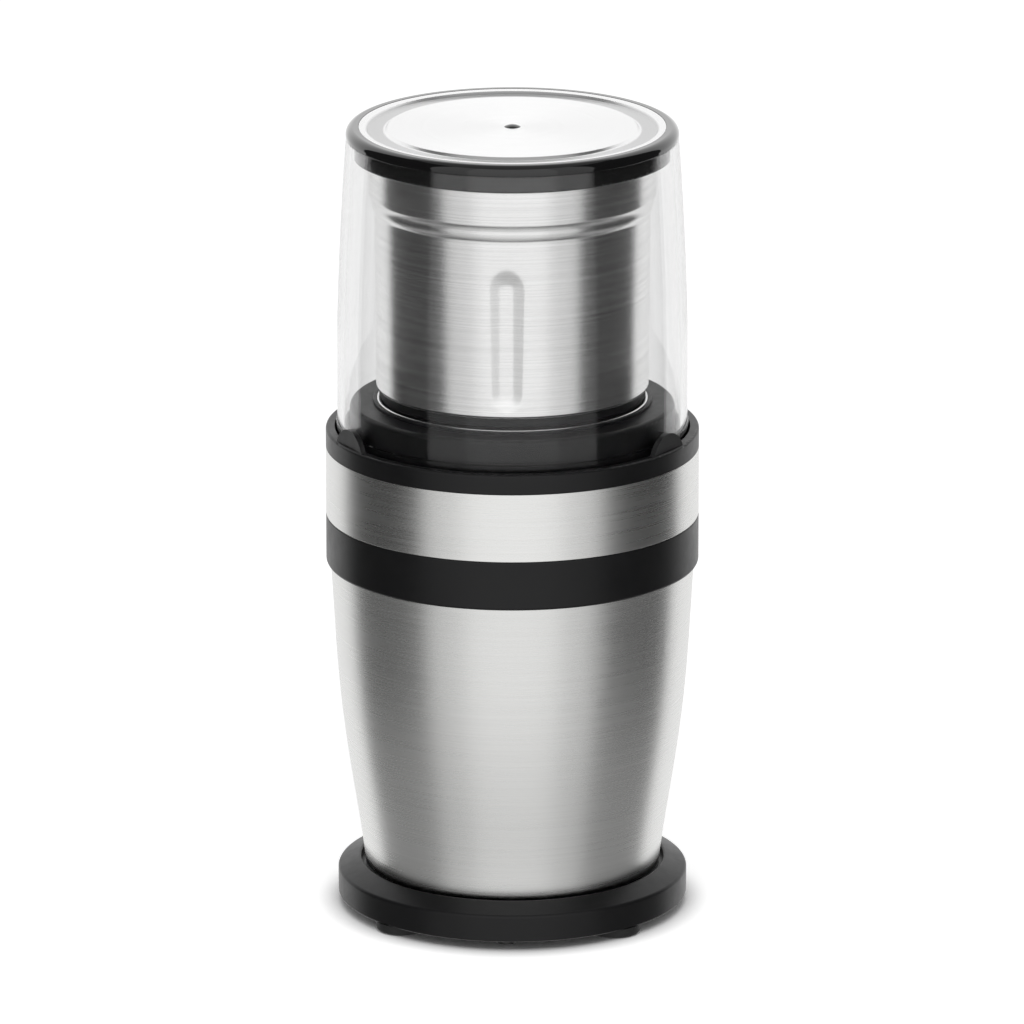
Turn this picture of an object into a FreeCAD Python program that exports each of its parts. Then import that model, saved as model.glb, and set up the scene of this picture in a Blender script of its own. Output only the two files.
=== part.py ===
import FreeCAD, Part
import math
import os

import Sketcher

Vector = FreeCAD.Vector

# Driving dimensions in millimetres and degrees, heights measured from the table

SIZES = {
    "foot_radius": 8.2,
    "foot_height": 3.0,
    "foot_round": 1.2,
    "foot_inset": 8.0,
    "foot_count": 4,
    "corner_angle": 45.0,
    "foot_stud_radius": 2.4,
    "base_radius": 53.7,
    "base_side_height": 8.0,
    "base_rim_height": 11.5,
    "base_mouth_gap": 1.4,
    "base_wall": 2.4,
    "base_ledge_depth": 2.5,
    "base_ledge_radius": 31.5,
    "base_cover_thickness": 2.2,
    "base_boss_radius": 3.0,
    "base_boss_inset": 6.2,
    "edge_round": 0.6,
    "fit_gap": 0.1,
    "vent_length": 16.0,
    "vent_width": 2.4,
    "vent_circle": 24.0,
    "vent_count": 12,
    "shell_foot_radius": 45.1,
    "shell_top_radius": 55.8,
    "shell_low_share": 0.3364,
    "shell_middle_share": 0.6636,
    "shell_high_share": 0.8598,
    "shell_wall": 1.0,
    "shell_height": 98.7,
    "shell_tuck": 1.5,
    "band_step": 1.2,
    "band_height": 15.3,
    "band_round": 1.0,
    "band_flange": 2.4,
    "steel_band_height": 21.1,
    "steel_band_wall": 1.0,
    "collar_side_height": 6.1,
    "collar_round": 0.8,
    "collar_wall": 2.7,
    "groove_width": 4.8,
    "groove_floor_drop": 4.6,
    "groove_floor_thickness": 2.2,
    "platform_width": 8.1,
    "platform_height": 14.8,
    "platform_round": 1.4,
    "well_depth": 17.0,
    "well_wall": 2.0,
    "well_hole_radius": 11.4,
    "drip_rim_wall": 1.8,
    "drip_rim_height": 1.9,
    "well_lip_width": 1.0,
    "well_lip_height": 1.0,
    "trim_ring_width": 1.2,
    "trim_ring_rise": 0.2,
    "trim_ring_height": 1.2,
    "ear_length": 16.4,
    "ear_thickness": 1.6,
    "ear_radius": 8.9,
    "ear_gap": 0.6,
    "ear_count": 3,
    "collar_screw_count": 3,
    "collar_screw_inset": 1.1,
    "collar_boss_radius": 2.9,
    "press_ring_height": 3.4,
    "press_ring_gap": 0.6,
    "press_inner_gap": 0.8,
    "press_rod_radius": 1.9,
    "spring_radius": 1.9,
    "spring_wire": 0.5,
    "spring_turns": 6,
    "spring_length": 11.4,
    "spring_count": 3,
    "spring_pocket_gap": 0.3,
    "spring_pocket_wall": 1.4,
    "switch_length": 20.0,
    "switch_width": 6.4,
    "switch_height": 6.6,
    "switch_inset": 2.6,
    "switch_ear": 1.0,
    "lever_gap": 0.3,
    "lever_arm": 11.0,
    "lever_length": 17.0,
    "lever_width": 4.2,
    "lever_thickness": 0.4,
    "lever_tilt": 14.0,
    "lever_pin_radius": 0.8,
    "lid_side_gap": 0.55,
    "lid_narrowing": 3.25,
    "lid_straight": 7.0,
    "lid_curve_height": 87.6,
    "lid_wall": 2.4,
    "lid_foot_gap": 2.2,
    "rim_overhang": 0.1,
    "rim_height": 3.3,
    "rim_round": 2.4,
    "rim_width": 4.9,
    "cap_seat": 0.9,
    "cap_thickness": 0.8,
    "cap_border": 2.9,
    "cap_groove_width": 5.1,
    "cap_groove_depth": 0.9,
    "cap_drop": 0.3,
    "plug_radius": 2.5,
    "plug_stem_radius": 1.5,
    "plug_dome": 0.7,
    "carrier_gap": 0.3,
    "carrier_wall": 3.0,
    "carrier_skirt": 5.5,
    "carrier_plate": 1.2,
    "seal_depth": 2.5,
    "seal_width": 3.0,
    "cup_widening": 0.5,
    "cup_shoulder": 1.7,
    "cup_wall": 0.8,
    "cup_floor_round": 1.3,
    "cup_waist_height": 55.5,
    "cup_shoulder_height": 5.3,
    "cup_height": 71.8,
    "flute_width": 14.0,
    "flute_slope": 70.0,
    "flute_depth": 1.95,
    "flute_length": 45.9,
    "flute_foot": 1.1,
    "flute_count": 3,
    "cup_base_height": 21.4,
    "cup_base_inset": 0.9,
    "cup_base_step": 2.4,
    "cup_side_gap": 0.7,
    "cup_base_wall": 2.4,
    "cup_base_plate": 3.0,
    "spindle_radius": 3.0,
    "running_gap": 0.05,
    "bush_radius": 5.0,
    "bush_flange_radius": 7.5,
    "bush_flange": 1.2,
    "bush_length": 11.0,
    "hub_radius": 9.0,
    "seal_ring_radius": 6.4,
    "seal_ring_height": 1.6,
    "blade_span": 62.0,
    "blade_width": 13.0,
    "blade_thickness": 1.6,
    "blade_hub_radius": 8.0,
    "blade_tip_rise": 6.0,
    "blade_tip_width": 5.0,
    "blade_lift": 1.0,
    "blade_nut_radius": 5.2,
    "blade_nut_height": 5.0,
    "blade_stud_height": 3.0,
    "coupling_radius": 9.6,
    "coupling_plate": 3.0,
    "coupling_lug_height": 3.0,
    "coupling_lug_inner": 5.0,
    "coupling_lug_angle": 32.0,
    "coupling_lug_count": 4,
    "coupling_gap": 0.4,
    "casing_radius": 42.0,
    "casing_wall": 2.2,
    "casing_flange_inset": 2.6,
    "casing_flange": 2.4,
    "casing_boss_radius": 3.4,
    "casing_boss_bite": 0.6,
    "casing_lip": 2.8,
    "casing_lip_height": 2.0,
    "screw_radius": 1.5,
    "screw_head_radius": 2.8,
    "screw_head_height": 1.8,
    "screw_length": 7.0,
    "motor_shaft_radius": 3.0,
    "bearing_radius": 9.5,
    "bearing_height": 6.0,
    "bearing_seat_wall": 2.0,
    "bracket_radius": 39.3,
    "bracket_thickness": 3.0,
    "bracket_window_radius": 7.0,
    "bracket_window_circle": 24.0,
    "bracket_window_count": 2,
    "top_bracket_height": 92.0,
    "bottom_bracket_height": 15.0,
    "stator_foot": 43.0,
    "stator_height": 30.0,
    "stator_radius": 31.0,
    "stator_flat": 26.0,
    "stator_bore": 17.4,
    "rotor_radius": 17.0,
    "rotor_slot_width": 2.0,
    "rotor_slot_depth": 3.0,
    "rotor_slot_count": 12,
    "winding_radius": 14.5,
    "coil_inner_radius": 18.2,
    "coil_spread": 110.0,
    "coil_leg_angle": 12.0,
    "coil_gap": 0.4,
    "coil_count": 2,
    "winding_height": 6.0,
    "coil_width": 4.6,
    "coil_rise": 5.0,
    "commutator_radius": 10.5,
    "commutator_height": 13.0,
    "commutator_slot": 0.6,
    "commutator_slot_depth": 1.0,
    "commutator_gap": 3.0,
    "commutator_bars": 24,
    "fan_radius": 28.0,
    "fan_height": 7.0,
    "fan_plate": 1.2,
    "fan_hub_radius": 6.0,
    "fan_gap": 2.0,
    "fan_blade_thickness": 1.2,
    "fan_blade_count": 10,
    "motor_post_radius": 3.5,
    "motor_post_circle": 27.0,
    "motor_nut_height": 2.4,
    "brush_width": 5.0,
    "brush_height": 7.0,
    "brush_length": 11.0,
    "brush_wall": 1.0,
    "brush_holder_length": 20.0,
    "brush_holder_gap": 2.5,
    "brush_count": 2,
    "board_length": 34.0,
    "board_width": 13.0,
    "board_thickness": 1.6,
    "gland_radius": 4.6,
    "gland_bore": 3.2,
    "gland_lip": 1.6,
    "gland_lip_radius": 6.2,
    "gland_height": 10.0,
}


class Size:
    """A length or angle: its value now, and the text that works it out from the sheet."""

    def __init__(self, value, text):
        self.value = float(value)
        self.text = text

    def __add__(self, other):
        other = size(other)
        return Size(self.value + other.value, f"({self.text} + {other.text})")

    def __sub__(self, other):
        other = size(other)
        return Size(self.value - other.value, f"({self.text} - {other.text})")

    def __mul__(self, other):
        other = size(other)
        return Size(self.value * other.value, f"({self.text} * {other.text})")

    def __truediv__(self, other):
        other = size(other)
        return Size(self.value / other.value, f"({self.text} / {other.text})")

    def __neg__(self):
        return Size(-self.value, f"(-1 * {self.text})")


def size(number):
    """Return a Size for a Size or a plain number."""
    return number if isinstance(number, Size) else Size(number, f"{number:g}")


def turned(function, angle):
    """Return sin, cos or tan of an angle in degrees as a Size."""
    angle = size(angle)
    value = getattr(math, function)(math.radians(angle.value))
    return Size(value, f"{function}({angle.text} * 1 deg)")


def write_sheet():
    """Write the driving dimensions to the sheet, one alias for each."""
    for row, (name, value) in enumerate(SIZES.items(), start=1):
        sheet.set(f"A{row}", name)
        sheet.set(f"B{row}", str(value))
        sheet.setAlias(f"B{row}", name)
    doc.recompute()


def of(name):
    """Return the sheet's dimension of that name."""
    return Size(SIZES[name], f"Sheet.{name}")


def bind(owner, prop, value):
    """Tie a property to a Size."""
    owner.setExpression(prop, size(value).text)


def new_body(label):
    """Add an empty body, which may hold several separate solids."""
    body = doc.addObject("PartDesign::Body", label)
    body.AllowCompound = True
    return body


def origin_item(body, role):
    """Return one of the body's own origin planes or axes."""
    return [item for item in body.Origin.OriginFeatures if item.Role == role][0]


def sketch_on(body, role, offset=0.0):
    """Add a sketch on one of the body's own origin planes, moved along its normal."""
    sketch = body.newObject("Sketcher::SketchObject", body.Name + "_outline")
    sketch.AttachmentSupport = [(origin_item(body, role), "")]
    sketch.MapMode = "FlatFace"
    bind(sketch, ".AttachmentOffset.Base.z", offset)
    return sketch


def fix_point(sketch, shape, end, x, y):
    """Hold one point of a sketch at x, y from the origin."""
    for kind, place in (("DistanceX", size(x)), ("DistanceY", size(y))):
        if place.value < 0:
            index = sketch.addConstraint(Sketcher.Constraint(kind, shape, end, -1, 1, -place.value))
            bind(sketch, f"Constraints[{index}]", -place)
        else:
            index = sketch.addConstraint(Sketcher.Constraint(kind, -1, 1, shape, end, place.value))
            bind(sketch, f"Constraints[{index}]", place)


def outline(sketch, points):
    """Draw a closed outline, anticlockwise. A third value is the radius of the arc to the next
    point, which bulges outward when it is positive."""
    corners = [Vector(size(point[0]).value, size(point[1]).value, 0) for point in points]
    starts = []
    shapes = []
    for index, point in enumerate(points):
        start = corners[index]
        end = corners[(index + 1) % len(corners)]
        if len(point) == 2:
            shapes.append(sketch.addGeometry(Part.LineSegment(start, end)))
            starts.append(1)
            continue
        radius = size(point[2])
        chord = end - start
        half = chord.Length / 2
        rise = abs(radius.value) - math.sqrt(max(radius.value ** 2 - half ** 2, 0.0))
        side = Vector(chord.y, -chord.x, 0).normalize() * math.copysign(rise, radius.value)
        outward = radius.value > 0
        ends = (start, end) if outward else (end, start)
        shape = sketch.addGeometry(Part.Arc(ends[0], (start + end) / 2 + side, ends[1]))
        shapes.append(shape)
        starts.append(1 if outward else 2)
        held = sketch.addConstraint(Sketcher.Constraint("Radius", shape, abs(radius.value)))
        bind(sketch, f"Constraints[{held}]", radius if outward else -radius)
    for index, shape in enumerate(shapes):
        after = (index + 1) % len(shapes)
        link = Sketcher.Constraint("Coincident", shape, 3 - starts[index], shapes[after], starts[after])
        sketch.addConstraint(link)
        fix_point(sketch, shape, starts[index], points[index][0], points[index][1])
    return sketch


def circle(sketch, x, y, radius):
    """Draw a circle."""
    centre = Vector(size(x).value, size(y).value, 0)
    shape = sketch.addGeometry(Part.Circle(centre, Vector(0, 0, 1), size(radius).value))
    fix_point(sketch, shape, 3, x, y)
    index = sketch.addConstraint(Sketcher.Constraint("Radius", shape, size(radius).value))
    bind(sketch, f"Constraints[{index}]", radius)
    return sketch


def upright_line(sketch, x):
    """Draw an upright construction line at x for a form to turn round."""
    ends = [Vector(x.value, y, 0) for y in (0, 1)]
    line = sketch.addGeometry(Part.LineSegment(*ends), True)
    fix_point(sketch, line, 1, x, 0)
    fix_point(sketch, line, 2, x, 1)


def box_points(x_low, y_low, x_high, y_high):
    """Return the corners of a rectangle, anticlockwise."""
    return [(x_low, y_low), (x_high, y_low), (x_high, y_high), (x_low, y_high)]


def feature(body, kind, sketch, **values):
    """Add a feature to a body. Numbers and Sizes are tied to the sheet, the rest is set."""
    made = body.newObject("PartDesign::" + kind, f"{body.Name}_{kind.lower()}")
    made.Profile = sketch
    for prop, value in values.items():
        if isinstance(value, Size):
            bind(made, prop, value)
        else:
            setattr(made, prop, value)
    doc.recompute()
    return made


def revolve(body, points, kind="Revolution", role="XZ_Plane", axis="V_Axis"):
    """Turn an outline of radius and height round an axis, adding or cutting."""
    sketch = outline(sketch_on(body, role), points)
    return feature(body, kind, sketch, ReferenceAxis=(sketch, [axis]), Angle=360)


def ring(label, points):
    """Make a body from one turned outline."""
    body = new_body(label)
    revolve(body, points)
    return body


def loft(body, sections, kind="AdditiveLoft"):
    """Add or cut a smooth round form through circles given as height and radius."""
    rings = [circle(sketch_on(body, "XY_Plane", height), 0, 0, radius) for height, radius in sections]
    made = body.newObject("PartDesign::" + kind, f"{body.Name}_{kind.lower()}")
    made.Profile = rings[0]
    made.Sections = rings[1:]
    doc.recompute()
    return made


def polar(body, originals, count):
    """Repeat features round the vertical axis."""
    made = body.newObject("PartDesign::PolarPattern", body.Name + "_pattern")
    made.Originals = originals
    made.Axis = (origin_item(body, "Z_Axis"), [""])
    made.Angle = 360
    bind(made, "Occurrences", count)
    body.Tip = made
    doc.recompute()
    return made


def disc(body, x, y, low, high, radius, kind="Pad"):
    """Add or cut an upright round bar between two heights."""
    sketch = circle(sketch_on(body, "XY_Plane", low), x, y, radius)
    return upright(body, sketch, high - low, kind)


def block(body, points, low, high, kind="Pad"):
    """Add or cut an upright bar with the given outline between two heights."""
    sketch = outline(sketch_on(body, "XY_Plane", low), points)
    return upright(body, sketch, high - low, kind)


def upright(body, sketch, height, kind):
    """Pad or pocket a level sketch upward."""
    if kind == "Pad":
        return feature(body, "Pad", sketch, Length=height)
    return feature(body, "Pocket", sketch, Length=height, Reversed=True)


def combine(label, kind, base, tool):
    """Join two shapes with a boolean."""
    made = doc.addObject("Part::" + kind, label)
    made.Base = base
    made.Tool = tool
    doc.recompute()
    return made


doc = FreeCAD.newDocument("spice_grinder")
sheet = doc.addObject("Spreadsheet::Sheet", "Sheet")
write_sheet()

# Radii that follow one another, from the shell outward and from the collar inward

BASE_MOUTH = of("shell_foot_radius") + of("base_mouth_gap")
FOOT_CIRCLE = of("base_radius") - of("foot_inset")
BASE_BOSS_CIRCLE = of("base_radius") - of("base_boss_inset")
BAND_RADIUS = of("shell_top_radius") + of("band_step")
FLANGE_RADIUS = of("shell_top_radius") - of("casing_flange_inset")
GROOVE_RADIUS = BAND_RADIUS - of("collar_wall")
PLATFORM_RADIUS = GROOVE_RADIUS - of("groove_width")
WELL_RADIUS = PLATFORM_RADIUS - of("platform_width")
TRIM_RADIUS = WELL_RADIUS - of("trim_ring_width")
SCREW_CIRCLE = PLATFORM_RADIUS - of("collar_screw_inset")
PRESS_OUTER = GROOVE_RADIUS - of("press_ring_gap")
PRESS_INNER = PLATFORM_RADIUS + of("press_inner_gap")
SPRING_CIRCLE = (PRESS_OUTER + PRESS_INNER) / 2
SWITCH_CIRCLE = SPRING_CIRCLE - of("switch_inset")
LID_RADIUS = GROOVE_RADIUS - of("lid_side_gap")
SHOULDER_RADIUS = LID_RADIUS - of("lid_narrowing")
RIM_RADIUS = SHOULDER_RADIUS + of("rim_overhang")
RIM_BORE = RIM_RADIUS - of("rim_width")
CAP_RADIUS = RIM_BORE + of("cap_seat")
CAP_GROOVE_OUTER = CAP_RADIUS - of("cap_border")
CAP_GROOVE_INNER = CAP_GROOVE_OUTER - of("cap_groove_width")
CARRIER_RADIUS = SHOULDER_RADIUS - of("lid_wall") - of("carrier_gap")
CARRIER_BORE = CARRIER_RADIUS - of("carrier_wall")
CUP_RADIUS = WELL_RADIUS
WAIST_RADIUS = CUP_RADIUS + of("cup_widening")
MOUTH_RADIUS = WAIST_RADIUS + of("cup_shoulder")
CUP_BASE_RADIUS = CUP_RADIUS - of("cup_base_inset")
CUP_SKIRT_RADIUS = TRIM_RADIUS - of("cup_side_gap")

# Heights of the main joints between pieces

BASE_Z = of("foot_height")
LEDGE_Z = BASE_Z + of("base_rim_height") - of("base_ledge_depth")
SHELL_TOP_Z = LEDGE_Z + of("shell_height")
BAND_Z = SHELL_TOP_Z - of("shell_tuck")
BAND_TOP_Z = BAND_Z + of("band_height")
COLLAR_Z = BAND_TOP_Z + of("steel_band_height")
PLATFORM_Z = COLLAR_Z + of("platform_height")
WELL_Z = PLATFORM_Z - of("well_depth")
GROOVE_Z = COLLAR_Z - of("groove_floor_drop")
LID_Z = COLLAR_Z + of("lid_foot_gap")
PRESS_Z = LID_Z - of("press_ring_height")
SPRING_Z = PRESS_Z - of("spring_length")
LID_TOP_Z = LID_Z + of("lid_straight") + of("lid_curve_height")
CUP_Z = WELL_Z + of("cup_base_height")
CUP_FLOOR_Z = CUP_Z + of("cup_wall")
DRIVEN_Z = WELL_Z + of("coupling_gap") * 2
GAP = of("running_gap")
FIT = of("fit_gap")
ROUND = of("edge_round")
CASING_BORE = of("casing_radius") - of("casing_wall")
CASING_TOP_Z = BAND_TOP_Z - of("band_flange")
BOSS_CIRCLE = CASING_BORE - of("casing_boss_radius") + of("casing_boss_bite")
COVER_TOP_Z = BASE_Z + of("base_cover_thickness")
LEDGE_BOTTOM_Z = LEDGE_Z - of("base_wall")


def around(distance, angle):
    """Return the x and y of a place at a distance from the axis and an angle from +X."""
    return distance * turned("cos", angle), distance * turned("sin", angle)


def turn_to(item, angle):
    """Turn a finished sub-part about the vertical axis."""
    item.Placement = FreeCAD.Placement(Vector(), FreeCAD.Rotation(Vector(0, 0, 1), size(angle).value))
    bind(item, "Placement.Rotation.Angle", angle)


def sector(start, end, inner, outer):
    """Return the corners of a part of a flat ring between two angles from +X."""
    return [
        around(inner, start),
        (*around(outer, start), outer),
        around(outer, end),
        (*around(inner, end), -inner),
    ]


def screws(label, distance, seat, length, count, angle):
    """Make a ring of identical screws that point upward, their heads under the seat height."""
    body = new_body(label)
    head = disc(body, distance, 0, seat - of("screw_head_height"), seat, of("screw_head_radius"))
    shank = disc(body, distance, 0, seat, seat + length, of("screw_radius"))
    polar(body, [head, shank], count)
    turn_to(body, angle)
    return body


def rubber_feet():
    """Four rubber feet, each with a stud that snaps through the bottom cover."""
    body = new_body("rubber_feet")
    centre = FOOT_CIRCLE
    radius = of("foot_radius")
    bend = of("foot_round")
    stud = of("foot_stud_radius")
    sketch = outline(sketch_on(body, "XZ_Plane"), [
        (centre, 0),
        (centre + radius - bend, 0, bend),
        (centre + radius, bend),
        (centre + radius, BASE_Z),
        (centre + stud, BASE_Z),
        (centre + stud, COVER_TOP_Z + 1),
        (centre, COVER_TOP_Z + 1),
    ])
    upright_line(sketch, centre)
    foot = feature(body, "Revolution", sketch, ReferenceAxis=(sketch, ["Axis0"]), Angle=360)
    polar(body, [foot], of("foot_count"))
    turn_to(body, of("corner_angle"))
    return body


def bottom_cover():
    """Flat cover under the base with air vents and holes for screws and feet."""
    body = ring("bottom_cover", [
        (0, BASE_Z),
        (of("base_radius") - of("base_wall") - FIT, BASE_Z),
        (of("base_radius") - of("base_wall") - FIT, COVER_TOP_Z),
        (0, COVER_TOP_Z),
    ])
    half = of("vent_width") / 2
    start = of("vent_circle") - of("vent_length") / 2
    end = of("vent_circle") + of("vent_length") / 2
    slot = [
        (start, -half),
        (end, -half, half),
        (end + half, 0, half),
        (end, half),
        (start, half, half),
        (start - half, 0, half),
    ]
    vent = block(body, slot, BASE_Z, COVER_TOP_Z, "Pocket")
    polar(body, [vent], of("vent_count"))
    screw = disc(body, BASE_BOSS_CIRCLE, 0, BASE_Z, COVER_TOP_Z, of("screw_radius") + FIT, "Pocket")
    polar(body, [screw], of("foot_count"))
    x, y = around(FOOT_CIRCLE, of("corner_angle"))
    foot = disc(body, x, y, BASE_Z, COVER_TOP_Z, of("foot_stud_radius") + GAP, "Pocket")
    polar(body, [foot], of("foot_count"))
    return body


def base_ring():
    """Wide black ring that the steel body stands in."""
    inner = of("base_radius") - of("base_wall")
    body = ring("base_ring", [
        (inner, BASE_Z),
        (of("base_radius") - ROUND, BASE_Z, ROUND),
        (of("base_radius"), BASE_Z + ROUND),
        (of("base_radius"), BASE_Z + of("base_side_height") - ROUND, ROUND),
        (of("base_radius") - ROUND, BASE_Z + of("base_side_height") + ROUND / 3),
        (BASE_MOUTH + ROUND, BASE_Z + of("base_rim_height"), ROUND),
        (BASE_MOUTH, BASE_Z + of("base_rim_height") - ROUND),
        (BASE_MOUTH, LEDGE_Z),
        (of("base_ledge_radius"), LEDGE_Z),
        (of("base_ledge_radius"), LEDGE_BOTTOM_Z),
        (inner, LEDGE_BOTTOM_Z),
    ])
    boss = disc(body, BASE_BOSS_CIRCLE, 0, COVER_TOP_Z, LEDGE_BOTTOM_Z, of("base_boss_radius"))
    polar(body, [boss], of("foot_count"))
    pilot = disc(body, BASE_BOSS_CIRCLE, 0, COVER_TOP_Z, LEDGE_BOTTOM_Z, of("screw_radius") + FIT, "Pocket")
    polar(body, [pilot], of("foot_count"))
    x, y = around(BOSS_CIRCLE, of("corner_angle"))
    hole = disc(body, x, y, LEDGE_BOTTOM_Z, LEDGE_Z, of("screw_radius") + FIT, "Pocket")
    polar(body, [hole], of("foot_count"))
    return body


def shell_form(body, extra, kind="AdditiveLoft"):
    """Add or cut the drawn form of the shell, its radii changed by extra."""
    foot = of("shell_foot_radius")
    growth = of("shell_top_radius") - foot
    shares = [size(0), of("shell_low_share"), of("shell_middle_share"), of("shell_high_share"), size(1)]
    step = of("shell_height") / (len(shares) - 1)
    heights = [LEDGE_Z + step * index for index in range(len(shares))]
    sections = [(height, foot + growth * share + extra) for height, share in zip(heights, shares)]
    return loft(body, sections, kind)


def cord_hole(body, low, high, radius):
    """Cut a round hole for the cord gland through the rear wall between two depths."""
    sketch = circle(sketch_on(body, "XZ_Plane", -high), 0, LEDGE_Z + of("gland_height"), radius)
    return feature(body, "Pocket", sketch, Length=high - low, Reversed=True)


def body_shell():
    """Drawn steel shell, widening upward in a gentle curve."""
    body = new_body("body_shell")
    shell_form(body, 0)
    shell_form(body, -of("shell_wall"), "SubtractiveLoft")
    cord_hole(body, of("casing_radius"), of("base_radius"), of("gland_radius") + GAP)
    return body


def black_band():
    """Black ring that holds the top of the steel shell and carries the steel band."""
    outer = BAND_RADIUS
    seat = of("shell_top_radius") + FIT
    inner = FLANGE_RADIUS + FIT
    body = ring("black_band", [
        (seat, BAND_Z),
        (outer - of("band_round"), BAND_Z, of("band_round")),
        (outer, BAND_Z + of("band_round")),
        (outer, BAND_TOP_Z - ROUND, ROUND),
        (outer - ROUND, BAND_TOP_Z),
        (of("casing_radius"), BAND_TOP_Z),
        (of("casing_radius"), CASING_TOP_Z),
        (inner, CASING_TOP_Z),
        (inner, SHELL_TOP_Z),
        (seat, SHELL_TOP_Z),
    ])
    x, y = around(SCREW_CIRCLE, 0)
    hole = disc(body, x, y, CASING_TOP_Z, BAND_TOP_Z, of("screw_radius") + FIT, "Pocket")
    polar(body, [hole], of("collar_screw_count"))
    return body


def steel_band():
    """Brushed steel band flush with the black rings above and below it."""
    return ring("steel_band", [
        (BAND_RADIUS - of("steel_band_wall"), BAND_TOP_Z),
        (BAND_RADIUS - ROUND / 3, BAND_TOP_Z, ROUND / 3),
        (BAND_RADIUS, BAND_TOP_Z + ROUND / 3),
        (BAND_RADIUS, COLLAR_Z - ROUND / 3, ROUND / 3),
        (BAND_RADIUS - ROUND / 3, COLLAR_Z),
        (BAND_RADIUS - of("steel_band_wall"), COLLAR_Z),
    ])


def inner_casing():
    """Moulded casing that carries the motor inside the steel shell."""
    bore = CASING_BORE
    lip_z = LEDGE_Z + of("top_bracket_height")
    body = ring("inner_casing", [
        (bore, LEDGE_Z),
        (of("casing_radius"), LEDGE_Z),
        (of("casing_radius"), CASING_TOP_Z - of("casing_flange")),
        (FLANGE_RADIUS, CASING_TOP_Z - of("casing_flange")),
        (FLANGE_RADIUS, CASING_TOP_Z),
        (bore, CASING_TOP_Z),
        (bore, lip_z),
        (bore - of("casing_lip"), lip_z),
        (bore - of("casing_lip"), lip_z - of("casing_lip_height")),
        (bore, lip_z - of("casing_lip_height") - of("casing_lip")),
    ])
    x, y = around(BOSS_CIRCLE, of("corner_angle"))
    boss_top = LEDGE_Z + of("bottom_bracket_height")
    boss = disc(body, x, y, LEDGE_Z, boss_top, of("casing_boss_radius"))
    polar(body, [boss], of("foot_count"))
    pilot = disc(body, x, y, LEDGE_Z, boss_top, of("screw_radius") + FIT, "Pocket")
    polar(body, [pilot], of("foot_count"))
    hole = disc(body, SCREW_CIRCLE, 0, CASING_TOP_Z - of("casing_flange"), CASING_TOP_Z,
                of("screw_radius") + FIT, "Pocket")
    polar(body, [hole], of("collar_screw_count"))
    cord_hole(body, 0, of("casing_radius") + 1, of("gland_radius") + GAP)
    return body


def cord_gland():
    """Rubber gland in the rear of the shell for the power cord."""
    centre = LEDGE_Z + of("gland_height")
    inner = CASING_BORE - of("gland_lip")
    outer = of("shell_foot_radius") + of("gland_lip") * 3
    body = new_body("gland_blank")
    for low, high, radius in ((inner, outer, of("gland_radius")),
                              (of("shell_foot_radius"), outer, of("gland_lip_radius"))):
        sketch = circle(sketch_on(body, "XZ_Plane", -high), 0, centre, radius)
        feature(body, "Pad", sketch, Length=high - low, Reversed=False)
    cord_hole(body, inner, outer, of("gland_bore"))
    keeper = new_body("gland_keeper")
    shell_form(keeper, FIT)
    cord_hole(keeper, 0, of("base_radius"), of("gland_radius"))
    return combine("cord_gland", "Cut", body, keeper)


COLLAR_TOP_Z = COLLAR_Z + of("collar_side_height")
GROOVE_BOTTOM_Z = GROOVE_Z - of("groove_floor_thickness")
LIP_Z = PLATFORM_Z + of("well_lip_height")
TRIM_Z = LIP_Z + of("trim_ring_rise") - of("trim_ring_height")
SWITCH_TOP_Z = BAND_TOP_Z + of("switch_height")
PIVOT_Z = SWITCH_TOP_Z + of("lever_pin_radius") + FIT
ROD_Z = (PIVOT_Z + of("lever_arm") * turned("tan", of("lever_tilt")) + of("lever_thickness")
         + of("lever_gap"))


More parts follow.
